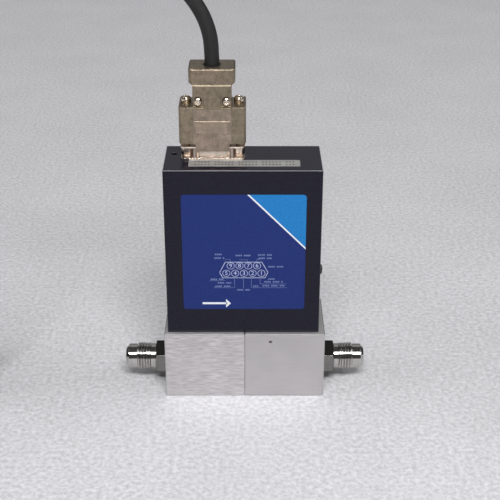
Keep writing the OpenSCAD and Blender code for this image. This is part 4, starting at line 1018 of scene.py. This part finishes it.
strip = STRIP_HIGH - STRIP_LOW
strip_marks = []
for row in STRIP_ROWS:
    for i in range(STRIP_MARKS):
        if i % WORD_STEP != WORD_STEP - 2:
            share = STRIP_MARGIN + (1 - 2*STRIP_MARGIN)*i/(STRIP_MARKS - 1)
            strip_marks.append(level_sheet(STRIP_LOW.x + strip.x*share, STRIP_LOW.y + strip.y*row,
                                           STRIP_MARK_W, STRIP_MARK_D))
join("strip_marks", strip_marks, grey)

# %% [markdown]
# ## The table and the light
#
# The table is a pale sheet with a fine pressed grain. One noise gives the grain its colour and
# relief together, so that the hollows are darker, and a much wider one shades the sheet very
# slightly. The table is large enough to reach far back in a low view, and it isn't a piece of the
# controller.

# %% Table
TABLE_SIZE = 40.0


def pressed_sheet():
    material, shader = start_material("pressed_sheet", shade(0.56), 0.0, 0.5)
    links = material.node_tree.links
    grain = add_noise(material, (420, 420, 420), detail=3.0, roughness=0.6)
    patch = add_noise(material, (14, 14, 14), detail=2.0)
    colour = add_mix(
        material, 1.0, add_ramp(material, grain, (0.485, 0.483, 0.498), (0.735, 0.73, 0.76), 0.3, 0.7),
        add_ramp(material, patch, shade(0.95), shade(1.0)), "MULTIPLY"
    )
    links.new(colour, shader.inputs["Base Color"])
    add_relief(material, shader, grain, 0.6*MM)
    return material


bpy.ops.mesh.primitive_plane_add(size=TABLE_SIZE, location=(0, 0, 0))
table = bpy.context.active_object
table.name = "table"
table.data.materials.append(pressed_sheet())
print("the table is", TABLE_SIZE, "m wide")

# %% [markdown]
# Polished cylinders show what lights them. The key lamp is a wide, low strip far in front, which
# draws one even line along both fittings. Two large lamps at the sides soften the shadows and can't
# be seen in the fittings. A small lamp low in front brightens the table there, and a weak one
# behind gives the cover's top its sheen. The world is a dark grey, so that the fittings have
# something dark to reflect.

# %% Lamps and world
OBJECT_MIDDLE = (0, 0, 0.08)
LAMPS = [
    ("key_lamp", (0.3, -3.15, 3.87), OBJECT_MIDDLE, (2.4, 0.8), 190),
    ("left_lamp", (-2.6, -0.2, 2.3), OBJECT_MIDDLE, (2.0, 2.0), 29),
    ("right_lamp", (2.6, -0.2, 2.3), OBJECT_MIDDLE, (2.0, 2.0), 31),
    ("front_lamp", (0.02, -0.26, 0.34), (0.02, -0.26, 0), (0.2, 0.2), 0.46),
    ("rear_lamp", (0.0, 3.0, 2.4), OBJECT_MIDDLE, (3.0, 3.0), 9),
]
WORLD_GREY = 0.08


def add_lamp(name, place, aim, size, power):
    deselect()
    bpy.ops.object.light_add(type="AREA", location=place)
    lamp = bpy.context.active_object
    lamp.name = name
    lamp.data.shape = "RECTANGLE"
    lamp.data.size, lamp.data.size_y = size
    lamp.data.energy = power
    lamp.rotation_euler = (Vector(aim) - Vector(place)).to_track_quat("-Z", "Y").to_euler()
    return lamp


print("lamps:", [add_lamp(*lamp).name for lamp in LAMPS])
world = bpy.data.worlds.new("studio_world")
bpy.context.scene.world = world
world.use_nodes = True
background = world.node_tree.nodes["Background"]
background.inputs["Color"].default_value = (*shade(WORLD_GREY), 1)
background.inputs["Strength"].default_value = 1.0
bpy.context.scene.view_settings.view_transform = "Standard"
